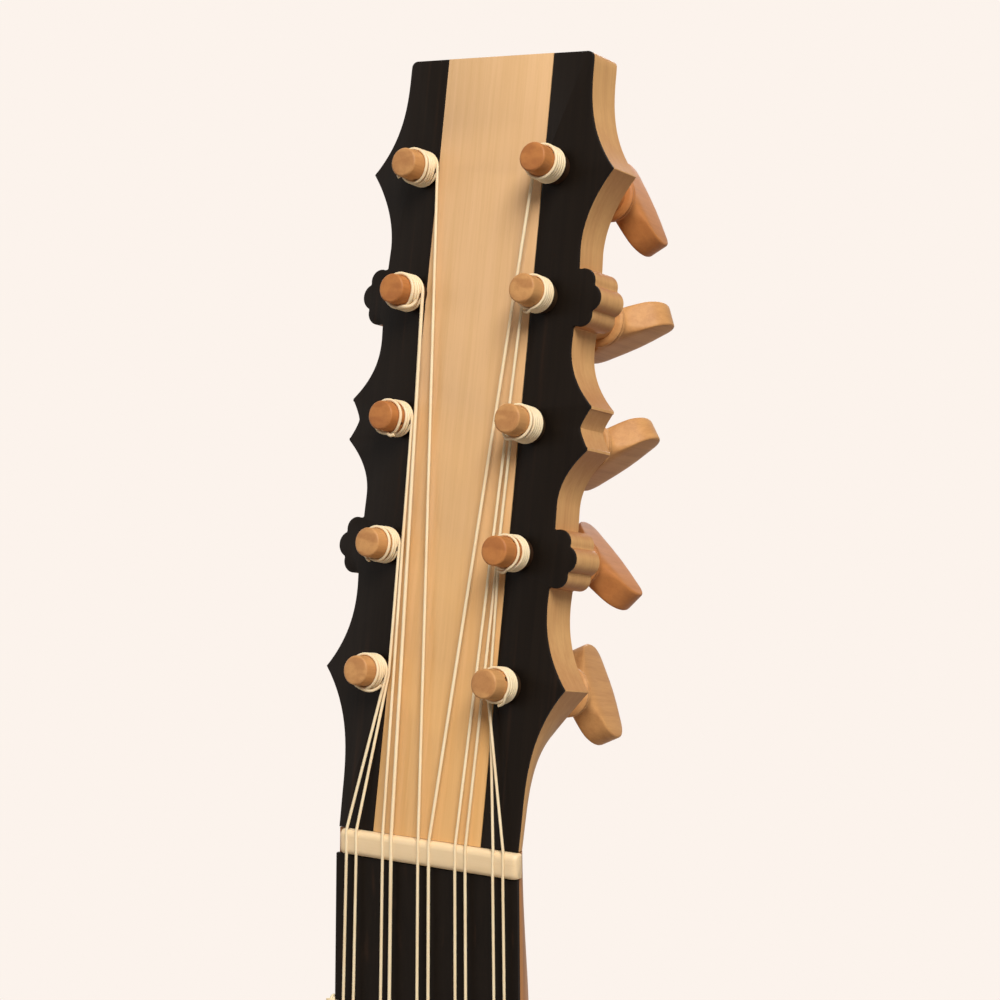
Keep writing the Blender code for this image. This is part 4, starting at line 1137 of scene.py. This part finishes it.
class GUITAR_OT_purfling(bpy.types.Operator):
    """Inlay the bands of ebony and bone round the soundboard and the rose"""

    bl_idname = "guitar.purfling"
    bl_label = "Purfling"

    def execute(self, context):
        neck, body = chosen("neck", "body")
        face, centre = -neck.rise, -neck.run - body.rose_place
        proud, sunk = face - mm(0.12), face + mm(0.3)
        edge = body_outline()
        finishes = {
            "dark": ("ebony_oiled", "ebony"), "line": ("ebony_oiled", "ebony"),
            "pale": ("bone_polished", "bone"), "inner": ("bone_polished", "bone"),
            "inlay": ("block_inlay", "ebony"),
        }
        for place, kind, outer, inner in (
            ("edge", "dark", 0.1, 1.5), ("edge", "pale", 1.5, 2.1), ("edge", "inlay", 2.1, 5.6),
            ("edge", "inner", 5.6, 6.2), ("edge", "line", 6.2, 6.8),
            ("rose", "line", 13.6, 12.8), ("rose", "pale", 12.8, 12.2), ("rose", "inlay", 12.2, 4.4),
            ("rose", "inner", 4.4, 3.8), ("rose", "dark", 3.8, 0.1),
        ):
            rings = []
            for reach in (outer, inner):
                if place == "edge":
                    rings.append(shrink(edge, mm(reach)))
                else:
                    round_hole = circle(body.rose_radius + mm(reach), 128)
                    rings.append([(x, centre + rise) for x, rise in round_hole])
            piece = band(f"{place}_band_{kind}", *rings, proud, sunk)
            dress(piece, finishes[kind][0], "guitar", finishes[kind][1])
        return {"FINISHED"}


class GUITAR_OT_rose(bpy.types.Operator):
    """Cut the pierced parchment rose under the soundboard"""

    bl_idname = "guitar.rose"
    bl_label = "Rose"

    def execute(self, context):
        neck, body = chosen("neck", "body")
        middle = Vector((0.0, -neck.rise + body.board + mm(0.7), -neck.run - body.rose_place))
        parts = []
        for count, offset, out, depth, radius, width, sides in (
            (1, 0.0, 0.0, 0.0, 45.0, 2.6, 72), (1, 0.0, 0.0, 0.0, 34.0, 1.0, 72),
            (1, 0.0, 0.0, 0.4, 21.5, 1.0, 72), (1, 0.0, 0.0, 0.8, 9.5, 1.2, 72),
            (12, 0.5, 39.2, 0.0, 5.6, 0.8, 24), (12, 0.5, 27.8, 0.2, 6.8, 0.8, 24),
            (8, 0.5, 15.4, 0.5, 6.4, 0.8, 24), (8, 0.0, 4.6, 0.8, 4.4, 0.6, 16),
        ):
            for x, z in circle(mm(out), count, offset):
                place = middle + Vector((x, mm(depth), z))
                parts.append(self.hoop(place, mm(radius), mm(width), sides))
        for (x, z), (far_x, far_z) in zip(circle(mm(9.0), 12), circle(mm(44.0), 12)):
            ends = [middle + Vector((x, mm(0.5), z)), middle + Vector((far_x, 0.0, far_z))]
            parts.append(cord("spoke", ends, [mm(0.55), mm(0.55)], 1))
        pick(*parts)
        bpy.ops.object.join()
        dress(newest("rose_tracery"), "parchment_cut", "guitar", "parchment", "rose")
        return {"FINISHED"}

    def hoop(self, place, radius, width, sides):
        """A flat ring of parchment."""
        deselect()
        bpy.ops.mesh.primitive_torus_add(
            location=place, rotation=(math.pi / 2, 0.0, 0.0), major_segments=sides, minor_segments=6,
            major_radius=radius, minor_radius=width / 2,
        )
        ring = newest("hoop")
        ring.scale = (1.0, 1.0, min(1.0, mm(1.0) / width))
        bpy.ops.object.transform_apply(location=True, rotation=True, scale=True)
        return ring


class GUITAR_OT_bridge(bpy.types.Operator):
    """Shape the bridge, drill it for the strings and carve the moustaches beside it"""

    bl_idname = "guitar.bridge"
    bl_label = "Bridge"

    def execute(self, context):
        neck, body = chosen("neck", "body")
        face = -neck.rise
        front = -neck.nut_width - body.scale
        back = front - body.bridge_width
        base, top = face - mm(0.1), face - body.bridge_rise
        profile = curve_through([
            (top + mm(1.4), front), (top + mm(0.45), front - mm(0.5)), (top, front - mm(2.0)),
            (top, front - mm(6.0)), (top, front - mm(10.0)), (top + mm(0.6), front - mm(11.6)),
            (top + mm(3.2), front - mm(13.3)), (top + mm(4.7), front - mm(15.4)),
            (top + mm(6.2), front - mm(18.6)), (base - mm(1.6), back),
        ], 3)
        profile = [(base, front), *map(tuple, profile), (base, back)]
        ends = ((0.0, 2.8), (0.5, 2.1), (1.4, 1.3), (3.0, 0.6), (4.6, 0.15), (6.0, 0.0))
        bridge = stack("bridge_carved", [
            [Vector((x, min(y + drop * (base - y) / body.bridge_rise, base), z)) for y, z in profile]
            for x, drop in both_ends(body.bridge_half, ends)
        ])
        holes = []
        for place, radius in zip(STRING_PLACES, STRING_RADII):
            x, y, wide = mm(place * BRIDGE_SPREAD), face - mm(BRIDGE_HOLES), mm(radius + 0.12)
            holes.append(((x, y, front + mm(3.0)), (x, y, back), wide, wide))
        carve(bridge, cutter("bridge_holes", holes, 16))
        dress(bridge, "ebony_oiled", "guitar", "ebony", "bridge")
        outline = self.moustache((front + back) / 2)
        for label, side in SIDES.items():
            points = [(side * x, z) for x, z in outline]
            piece = slab(f"moustache_{label}_carved", points, face_y, (
                (0.0, mm(-0.03)), (0.0, mm(-0.9)), (0.25, mm(-1.3)), (0.8, mm(-1.52)),
            ))
            dress(piece, "ebony_oiled", "guitar", "ebony", f"moustache_{label}")
        return {"FINISHED"}

    def moustache(self, middle):
        """Outline of the treble moustache, which springs from the bridge's end and curls up."""
        body = chosen("body")
        root = body.bridge_half + mm(0.1)
        upper, lower = [], []
        for s in [k / 40 for k in range(41)]:
            x = root + (body.moustache - root) * s
            sweep = mm(9.0 * math.sin(math.pi * s * 1.15) - 20.0 * s ** 2)
            width = mm(8.0 * (1.0 - s) ** 0.8 + 2.2 * math.sin(math.pi * s) + 0.6)
            upper.append((x, middle - sweep + width))
            lower.append((x, middle - sweep - width * 0.8))
        return upper + lower[::-1]


class GUITAR_OT_button(bpy.types.Operator):
    """Turn the tail button"""

    bl_idname = "guitar.button"
    bl_label = "Tail button"

    def execute(self, context):
        body = chosen("body")
        low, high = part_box("tail_button")
        x, y = (low.x + high.x) / 2, (low.y + high.y) / 2
        radius = body.button_radius
        base = low.z + body.button_run
        profile = curve_through([
            (mm(3.2), mm(15.0)), (mm(3.2), mm(7.0)), (mm(3.2), mm(0.2)), (radius * 0.8, mm(0.0)),
            (radius * 0.84, mm(-0.7)), (radius * 0.8, mm(-1.5)), (radius * 0.55, mm(-3.2)),
            (radius * 0.6, mm(-5.0)), (radius * 0.97, mm(-7.2)), (radius, mm(-8.6)),
            (radius * 0.95, mm(-10.6)), (radius * 0.62, mm(-12.6)), (radius * 0.2, mm(-13.0)),
        ], 3)
        rings = [round_ring(out, base + rise, x, y, 40) for out, rise in profile]
        button = stack("tail_button_turned", rings, 40)
        dress(button, "ebony_oiled", "guitar", "ebony", "tail_button")
        return {"FINISHED"}


# Finishes


class Wire:
    """The output of a node, which takes part in sums written as plain Python."""

    def __init__(self, finish, socket):
        self.finish = finish
        self.socket = socket

    def __add__(self, other):
        return self.finish.sum("ADD", self, other)

    def __radd__(self, other):
        return self.finish.sum("ADD", other, self)

    def __sub__(self, other):
        return self.finish.sum("SUBTRACT", self, other)

    def __rsub__(self, other):
        return self.finish.sum("SUBTRACT", other, self)

    def __mul__(self, other):
        return self.finish.sum("MULTIPLY", self, other)

    def __rmul__(self, other):
        return self.finish.sum("MULTIPLY", other, self)


class Finish:
    """The nodes of one material, or of the world."""

    def __init__(self, tree):
        self.tree = tree

    def fill(self, socket, value):
        """Join a wire to a socket, or set the socket's own value."""
        if isinstance(value, Wire):
            self.tree.links.new(value.socket, socket)
        elif socket.type == "RGBA":
            socket.default_value = (*value, 1.0)
        else:
            socket.default_value = value

    def node(self, kind, settings=None, sockets=None, output=0):
        """Add a node, set it up, fill its sockets and return one of its outputs."""
        made = self.tree.nodes.new(kind)
        for key, value in (settings or {}).items():
            setattr(made, key, value)
        for key, value in (sockets or {}).items():
            self.fill(made.inputs[key], value)
        return Wire(self, made.outputs[output])

    def sum(self, operation, first, second=0.0):
        """A sum on one or two values."""
        return self.node("ShaderNodeMath", {"operation": operation}, {0: first, 1: second})

    def part(self, vector, axis):
        """One of a vector's parts: 0 for X, 1 for Y and 2 for Z."""
        return self.node("ShaderNodeSeparateXYZ", sockets={0: vector}, output=axis)

    def shade(self, sockets):
        """Fill sockets of the surface shader."""
        for key, value in sockets.items():
            self.fill(self.tree.nodes["Principled BSDF"].inputs[key], value)

    def place(self, cell=METRE, turn=UPRIGHT, centre=(0.0, 0.0, 0.0)):
        """The piece's own coordinates, turned and centred, in cells of a size in millimetres."""
        spot = self.node("ShaderNodeTexCoord", output=3)
        return self.node(
            "ShaderNodeMapping",
            {"vector_type": "TEXTURE"},
            {"Vector": spot, "Location": centre, "Rotation": turn, "Scale": tuple(mm(c) for c in cell)},
        )

    def noise(self, cell, turn=UPRIGHT, detail=2.0, roughness=0.5, twist=0.0):
        """Smooth noise in cells of a size in millimetres."""
        return self.node("ShaderNodeTexNoise", sockets={
            "Vector": self.place(cell, turn), "Scale": 1.0, "Detail": detail,
            "Roughness": roughness, "Distortion": twist,
        })

    def spread(self, value, low, high, to_low=0.0, to_high=1.0):
        """Ease a value from one range into another."""
        return self.node(
            "ShaderNodeMapRange",
            {"interpolation_type": "SMOOTHSTEP"},
            {"Value": value, "From Min": low, "From Max": high, "To Min": to_low, "To Max": to_high},
        )

    def mix(self, share, first, second, way="MIX"):
        """Mix two colours."""
        kind = {"data_type": "RGBA", "blend_type": way}
        return self.node("ShaderNodeMix", kind, {0: share, 6: first, 7: second}, 2)

    def bump(self, height, deep):
        """A surface raised by height times a depth in millimetres."""
        sockets = {"Height": height, "Distance": mm(deep), "Strength": 1.0}
        return self.node("ShaderNodeBump", sockets=sockets)

    def facing(self, axis):
        """How far the surface faces along an axis, either way, from 0 to 1."""
        normal = self.node("ShaderNodeTexCoord", output=1)
        share = self.node("ShaderNodeVectorMath", {"operation": "DOT_PRODUCT"}, {0: normal, 1: axis}, 1)
        return self.sum("ABSOLUTE", share)

    def seen(self):
        """1 on camera, glossy and transmission rays."""
        rays = [self.node("ShaderNodeLightPath", output=k) for k in (0, 3, 6)]
        return self.sum("MINIMUM", rays[0] + rays[1] + rays[2], 1.0)


def shade_of(rgb, share):
    """A colour made darker or lighter."""
    return tuple(c * share for c in rgb)


def head_turn():
    """Turns a grain so that it runs up the head."""
    return (-chosen("head").tilt, 0.0, 0.0)


def wood(finish, light, dark, turn, ring, fibre, streak, gloss, depth):
    """The colour of a wood whose grain runs along the turned Z axis; sets its gloss and bump too."""
    broad = finish.noise((ring * 6, ring * 6, ring * 60), turn, 1.0)
    growth = finish.noise((ring, ring, ring * 45), turn, 3.0, 0.55, 0.3)
    fine = finish.noise((fibre, fibre, fibre * 50), turn, 4.0, 0.6)
    pores = finish.noise((fibre * 0.5, fibre * 0.5, fibre * 14), turn, 1.0, 0.5)
    figure = finish.spread(growth, 0.32, 0.72) * streak
    figure = figure + finish.spread(fine, 0.3, 0.75) * (streak * 0.55) + (broad - 0.5) * streak
    shade = finish.mix(figure, light, dark)
    flecks = finish.spread(pores, 0.66, 0.76)
    finish.shade({
        "Roughness": gloss + (fine - 0.5) * 0.16 + flecks * 0.1,
        "Normal": finish.bump(fine * 0.6 - flecks * 0.5, depth),
    })
    return finish.mix(flecks * (streak * 0.6), shade, shade_of(dark, 0.6))


def maple(finish, woods):
    """Maple of the centre strip, yellower near the nut."""
    dark = shade_of(woods.maple_deep, 0.82)
    shade = wood(finish, woods.maple, dark, head_turn(), 1.6, 0.35, 0.3, 0.4, 0.008)
    # The strip is made darker and yellower towards the nut
    low = finish.spread(finish.part(finish.place(), 2), 0.14, 0.01)
    yellower = tuple(b / a for a, b in zip(woods.maple, woods.maple_deep))
    nut_end_tone = finish.mix(low * 0.75, (1.0, 1.0, 1.0), yellower)
    finish.shade({"Base Color": finish.mix(1.0, shade, nut_end_tone, "MULTIPLY"), "Specular IOR Level": 0.35})


def carved_maple(finish, woods):
    """Maple of the core, darker where its edges cut across the grain: end grain, deepened by painted
    shade.
    """
    tilt = chosen("head").tilt
    dark = shade_of(woods.core_dark_and_shade, 1.1)
    shade = wood(finish, woods.core, dark, head_turn(), 2.4, 0.4, 0.2, 0.5, 0.012)
    end = finish.spread(finish.facing((0.0, math.sin(tilt), math.cos(tilt))), 0.2, 0.85)
    layers = finish.noise((30.0, 0.8, 60.0), head_turn(), 2.0)
    shade = finish.mix(finish.spread(layers, 0.4, 0.65) * 0.1, shade, woods.core_dark_and_shade)
    # By which way the surface faces: end grain, made darker than end grain alone as painted shade on
    # the flanks
    shade = finish.mix(end * 0.65, shade, woods.core_dark_and_shade)
    finish.shade({"Base Color": shade, "Specular IOR Level": 0.15})


def ebony(finish, woods):
    """Oiled ebony with a few brown streaks."""
    dark = shade_of(woods.ebony, 0.6)
    shade = wood(finish, woods.ebony, dark, head_turn(), 1.8, 0.3, 0.6, 0.42, 0.01)
    brown = finish.noise((2.4, 2.4, 70.0), head_turn(), 2.0, 0.5)
    shade = finish.mix(finish.spread(brown, 0.6, 0.78) * 0.3, shade, linear(58, 38, 26))
    finish.shade({"Base Color": shade, "Specular IOR Level": 0.08})


def fruitwood(finish, woods, light):
    """Wood of the pegs, with end grain on their tips and a band of painted shade round each shaft."""
    tilt = chosen("head").tilt
    along = (math.pi / 2 - tilt, 0.0, 0.0)
    shade = wood(finish, light, woods.peg_dark, along, 1.7, 0.3, 0.22, 0.5, 0.01)
    end = finish.spread(finish.facing((0.0, -math.cos(tilt), math.sin(tilt))), 0.5, 0.85)
    cuts = finish.noise((8.0, 2.6, 30.0), along, 1.0)
    sunk = finish.part(finish.place(METRE, head_turn(), head_point(0.0, 0.0, 0.0)), 1)
    tip = finish.spread(sunk, mm(-5.0), mm(-8.0))
    shade = finish.mix(end * tip * (0.32 * finish.spread(cuts, 0.44, 0.6)), shade, woods.peg_dark)
    # Painted shade: a near-black band round the shaft just above the head's face, where the shaft lies
    # in shadow
    painted_shade_at_bore = finish.spread(sunk, mm(-3.2), mm(-2.0)) * finish.spread(sunk, mm(9.0), mm(5.0))
    shade = finish.mix(painted_shade_at_bore * 0.95, shade, linear(30, 20, 14))
    finish.shade({"Base Color": shade, "Specular IOR Level": 0.2})


def neck_wood(finish, woods):
    """Oiled brown wood of the neck."""
    shade = wood(finish, woods.neck, shade_of(woods.neck, 0.5), UPRIGHT, 2.0, 0.4, 0.5, 0.4, 0.015)
    finish.shade({"Base Color": shade, "Specular IOR Level": 0.2})


def rib_wood(finish, woods):
    """Figured wood with a line of bone between two of ebony down the middle of the back."""
    shade = wood(finish, woods.rib, woods.rib_dark, UPRIGHT, 3.2, 0.5, 0.7, 0.3, 0.012)
    away = finish.sum("ABSOLUTE", finish.part(finish.place((1.0, 1.0, 1.0)), 0))
    pale = finish.spread(away, 1.35, 1.15)
    dark = finish.spread(away, 2.15, 1.95) - pale
    shade = finish.mix(pale, finish.mix(dark, shade, woods.ebony), woods.bone)
    finish.shade({
        "Base Color": shade, "Specular IOR Level": 0.35, "Coat Weight": 0.25, "Coat Roughness": 0.2,
    })


def spruce(finish, woods, coat):
    """Straight rings, a fine fibre, slow clouds and a silk across the grain."""
    rings = finish.noise((1.1, 40.0, 260.0), detail=2.0, roughness=0.6)
    fine = finish.noise((0.3, 0.3, 14.0), detail=3.0, roughness=0.6)
    cloud = finish.noise((40.0, 40.0, 120.0), detail=1.0)
    silk = finish.noise((9.0, 3.0, 1.2), detail=1.0)
    lines = finish.spread(rings, 0.5, 0.62)
    shade = finish.mix(lines * 0.42, woods.spruce, shade_of(woods.spruce, 0.55))
    for figure, low, high, share, tone in (
        (fine, 0.3, 0.8, 0.25, 0.7), (cloud, 0.3, 0.7, 0.3, 0.82), (silk, 0.55, 0.8, 0.12, 1.1),
    ):
        share = finish.spread(figure, low, high) * share
        shade = finish.mix(share, shade, shade_of(woods.spruce, tone))
    finish.shade({
        "Base Color": shade,
        "Roughness": 0.42 + (fine - 0.5) * 0.15,
        "Normal": finish.bump(lines + fine * 0.5, 0.01),
        "Coat Weight": coat,
        "Coat Roughness": 0.25,
    })


def bone(finish, woods):
    """Polished bone with pale streaks, yellower clouds and small brown pits."""
    streaks = finish.noise((14.0, 1.2, 0.5), detail=3.0, roughness=0.6)
    cloud = finish.noise((9.0, 4.0, 4.0), detail=2.0)
    pits = finish.spread(finish.noise((0.5, 0.25, 0.25), detail=1.0), 0.68, 0.78)
    shade = finish.mix(finish.spread(streaks, 0.45, 0.75) * 0.3, woods.bone, linear(222, 188, 140))
    shade = finish.mix(finish.spread(cloud, 0.4, 0.75) * 0.35, shade, linear(240, 212, 172))
    shade = finish.mix(pits * 0.25, shade, linear(200, 164, 118))
    finish.shade({
        "Base Color": shade,
        "Roughness": 0.38 + (streaks - 0.5) * 0.2,
        "Normal": finish.bump(streaks - pits * 0.6, 0.02),
        "Specular IOR Level": 0.2,
        "Subsurface Weight": 0.12,
        "Subsurface Radius": (0.0012, 0.0009, 0.0006),
    })


def gut(finish, woods):
    """Twisted gut, with fibres along it and slow changes of tone."""
    fibres = finish.noise((0.35, 0.35, 1.6), detail=3.0, roughness=0.6)
    cloud = finish.noise((4.0, 4.0, 14.0), detail=2.0)
    shade = finish.mix(finish.spread(cloud, 0.35, 0.7) * 0.4, woods.gut, linear(226, 192, 146))
    shade = finish.mix(finish.spread(fibres, 0.5, 0.8) * 0.22, shade, linear(208, 172, 126))
    finish.shade({
        "Base Color": shade,
        "Roughness": 0.42 + (fibres - 0.5) * 0.2,
        "Normal": finish.bump(fibres, 0.02),
        "Specular IOR Level": 0.25,
        "Subsurface Weight": 0.15,
        "Subsurface Radius": (0.001, 0.0008, 0.0005),
    })


def parchment(finish, woods):
    """Parchment, cloudy and a little fibrous."""
    cloud = finish.noise((8.0, 8.0, 8.0), detail=3.0)
    fibre = finish.noise((0.8, 0.8, 0.8), detail=3.0)
    dark, darker = shade_of(woods.parchment, 0.7), shade_of(woods.parchment, 0.5)
    shade = finish.mix(finish.spread(cloud, 0.35, 0.7) * 0.5, woods.parchment, dark)
    shade = finish.mix(finish.spread(fibre, 0.5, 0.8) * 0.2, shade, darker)
    finish.shade({
        "Base Color": shade, "Roughness": 0.6 + (fibre - 0.5) * 0.2, "Normal": finish.bump(fibre, 0.03)
    })


def block_inlay(finish, woods):
    """Slanted blocks of ebony and bone that meet in a herringbone along the band."""
    laid = finish.node("ShaderNodeUVMap", {"uv_map": "inlay"})
    lean = finish.sum("ABSOLUTE", finish.part(laid, 1) - 1.0)
    blocks = finish.spread(finish.sum("PINGPONG", finish.part(laid, 0) + lean, 1.0), 0.45, 0.55)
    fine = finish.noise((0.4, 0.4, 6.0), detail=2.0)
    dark = finish.mix(fine * 0.4, woods.ebony, shade_of(woods.ebony, 2.0))
    pale = finish.mix(fine * 0.4, woods.bone, shade_of(woods.bone, 0.8))
    finish.shade({"Base Color": finish.mix(blocks, dark, pale), "Roughness": 0.35 + (fine - 0.5) * 0.2})


def floor_paint(finish, woods):
    """Pale and matt near the guitar, where its shadow falls, and plain backdrop further out."""
    backdrop = chosen("stage").backdrop
    finish.shade({"Base Color": shade_of(backdrop, 0.44), "Roughness": 0.9})
    near = Wire(finish, finish.tree.nodes["Principled BSDF"].outputs[0])
    plain = finish.node("ShaderNodeEmission", sockets={"Color": backdrop, "Strength": 1.0})
    spot = finish.place(centre=(0.0, 0.0, CAD_BOX[0][2]))
    away = finish.node("ShaderNodeVectorMath", {"operation": "LENGTH"}, {0: spot}, 1)
    fade = finish.spread(away, 0.35, 1.5, 0.45, 1.0) * finish.seen()
    painted = finish.node("ShaderNodeMixShader", sockets={0: fade, 1: near, 2: plain})
    finish.fill(finish.tree.nodes["Material Output"].inputs["Surface"], painted)


FINISHES = {
    "maple": maple,
    "carved_maple": carved_maple,
    "ebony_oiled": ebony,
    "fruitwood": lambda finish, woods: fruitwood(finish, woods, woods.peg),
    "fruitwood_red": lambda finish, woods: fruitwood(finish, woods, woods.peg_red),
    "neck_wood_oiled": neck_wood,
    "rib_wood_varnished": rib_wood,
    "spruce_varnished": lambda finish, woods: spruce(finish, woods, 0.2),
    "spruce_plain": lambda finish, woods: spruce(finish, woods, 0.0),
    "bone_polished": bone,
    "gut_twisted": gut,
    "parchment_cut": parchment,
    "block_inlay": block_inlay,
    "floor_paint": floor_paint,
}


def finished(name):
    """The finish of that name, made when it is first asked for."""
    if name not in bpy.data.materials:
        material = bpy.data.materials.new(name)
        material.use_nodes = True
        FINISHES[name](Finish(material.node_tree), chosen("colours"))
    return bpy.data.materials[name]


# Stage


def lamp(name, power, width, place, aim):
    """A large soft lamp that looks at a point."""
    deselect()
    bpy.ops.object.light_add(type="AREA", location=place)
    made = newest(name)
    made.data.energy = power
    made.data.shape = "DISK"
    made.data.size = width
    made.rotation_euler = (Vector(aim) - Vector(place)).to_track_quat("-Z", "Y").to_euler()


class GUITAR_OT_stage(bpy.types.Operator):
    """Set out the floor, the backdrop, the lamps and the camera"""

    bl_idname = "guitar.stage"
    bl_label = "Stage"

    def execute(self, context):
        stage = chosen("stage")
        context.scene.view_settings.view_transform = "Standard"
        deselect()
        bpy.ops.mesh.primitive_circle_add(
            vertices=96, radius=2.4, fill_type="NGON", location=(0.0, 0.0, CAD_BOX[0][2] - mm(0.2))
        )
        floor = newest("floor")
        bpy.ops.object.transform_apply(location=True, rotation=True, scale=True)
        floor.data.materials.append(finished("floor_paint"))
        context.scene.world = self.backdrop_world(stage)
        lamp("key_lamp", stage.key, 2.4, (1.95, -2.1, 2.85), (0.0, 0.0, -0.1))
        lamp("fill_lamp", stage.fill, 1.6, (-2.6, -2.2, 0.6), (0.0, 0.0, -0.1))
        lamp("back_lamp", stage.fill * 5.0, 1.6, (-1.2, 3.0, 1.6), (0.0, 0.0, -0.3))
        bpy.ops.object.camera_add()
        camera = newest("camera")
        camera.data.lens = stage.lens
        camera.data.sensor_width = 36.0
        heading, dip, roll = (math.radians(degrees) for degrees in (34.10, 4.45, 0.19))
        camera.matrix_world = (
            Matrix.Translation((0.337856, -0.468421, 0.124739))
            @ Matrix.Rotation(heading, 4, "Z")
            @ Matrix.Rotation(math.pi / 2 - dip, 4, "X")
            @ Matrix.Rotation(roll, 4, "Z")
        )
        context.scene.camera = camera
        return {"FINISHED"}

    def backdrop_world(self, stage):
        """Plain backdrop where it is seen, and elsewhere a soft light that comes mostly from above."""
        world = bpy.data.worlds.new("backdrop")
        world.use_nodes = True
        tree = world.node_tree
        tree.nodes.clear()
        finish = Finish(tree)
        plain = finish.node("ShaderNodeBackground", sockets={"Color": stage.backdrop, "Strength": 1.0})
        rise = finish.part(finish.node("ShaderNodeTexCoord", output=0), 2)
        light = finish.node("ShaderNodeBackground", sockets={
            "Color": (1.0, 0.985, 0.965),
            "Strength": stage.ambient * finish.spread(rise, -0.5, 0.7, 0.1, 2.0),
        })
        both = finish.node("ShaderNodeMixShader", sockets={0: finish.seen(), 1: light, 2: plain})
        finish.fill(tree.nodes.new("ShaderNodeOutputWorld").inputs["Surface"], both)
        return world


OPERATORS = (
    GUITAR_OT_head_core, GUITAR_OT_head_veneers, GUITAR_OT_centre_strip, GUITAR_OT_pegs,
    GUITAR_OT_strings, GUITAR_OT_neck, GUITAR_OT_nut, GUITAR_OT_frets, GUITAR_OT_body,
    GUITAR_OT_purfling, GUITAR_OT_rose, GUITAR_OT_bridge, GUITAR_OT_button, GUITAR_OT_stage,
)
SETTINGS = {
    "guitar_head": HeadSizes, "guitar_pegs": PegSizes, "guitar_neck": NeckSizes,
    "guitar_body": BodySizes, "guitar_colours": WoodColours, "guitar_stage": StageSettings,
}


class GUITAR_PT_workshop(bpy.types.Panel):
    """Every step of the guitar, in the order in which it is made"""

    bl_idname = "GUITAR_PT_workshop"
    bl_label = "Baroque guitar"
    bl_space_type = "VIEW_3D"
    bl_region_type = "UI"
    bl_category = "Guitar"

    def draw(self, context):
        for operator in OPERATORS:
            self.layout.operator(operator.bl_idname)
        for name, group in SETTINGS.items():
            box = self.layout.box()
            box.label(text=group.__doc__)
            for key in group.__annotations__:
                box.prop(getattr(context.scene, name), key)


def register():
    for name, group in SETTINGS.items():
        bpy.utils.register_class(group)
        setattr(bpy.types.Scene, name, bpy.props.PointerProperty(type=group))
    for operator in OPERATORS:
        bpy.utils.register_class(operator)
    bpy.utils.register_class(GUITAR_PT_workshop)


def unregister():
    bpy.utils.unregister_class(GUITAR_PT_workshop)
    for operator in reversed(OPERATORS):
        bpy.utils.unregister_class(operator)
    for name, group in SETTINGS.items():
        delattr(bpy.types.Scene, name)
        bpy.utils.unregister_class(group)


def main():
    register()
    bpy.ops.guitar.head_core()
    bpy.ops.guitar.head_veneers()
    bpy.ops.guitar.centre_strip()
    bpy.ops.guitar.pegs()
    bpy.ops.guitar.strings()
    bpy.ops.guitar.neck()
    bpy.ops.guitar.nut()
    bpy.ops.guitar.frets()
    bpy.ops.guitar.body()
    bpy.ops.guitar.purfling()
    bpy.ops.guitar.rose()
    bpy.ops.guitar.bridge()
    bpy.ops.guitar.button()
    bpy.ops.guitar.stage()


if __name__ == "__main__":
    main()
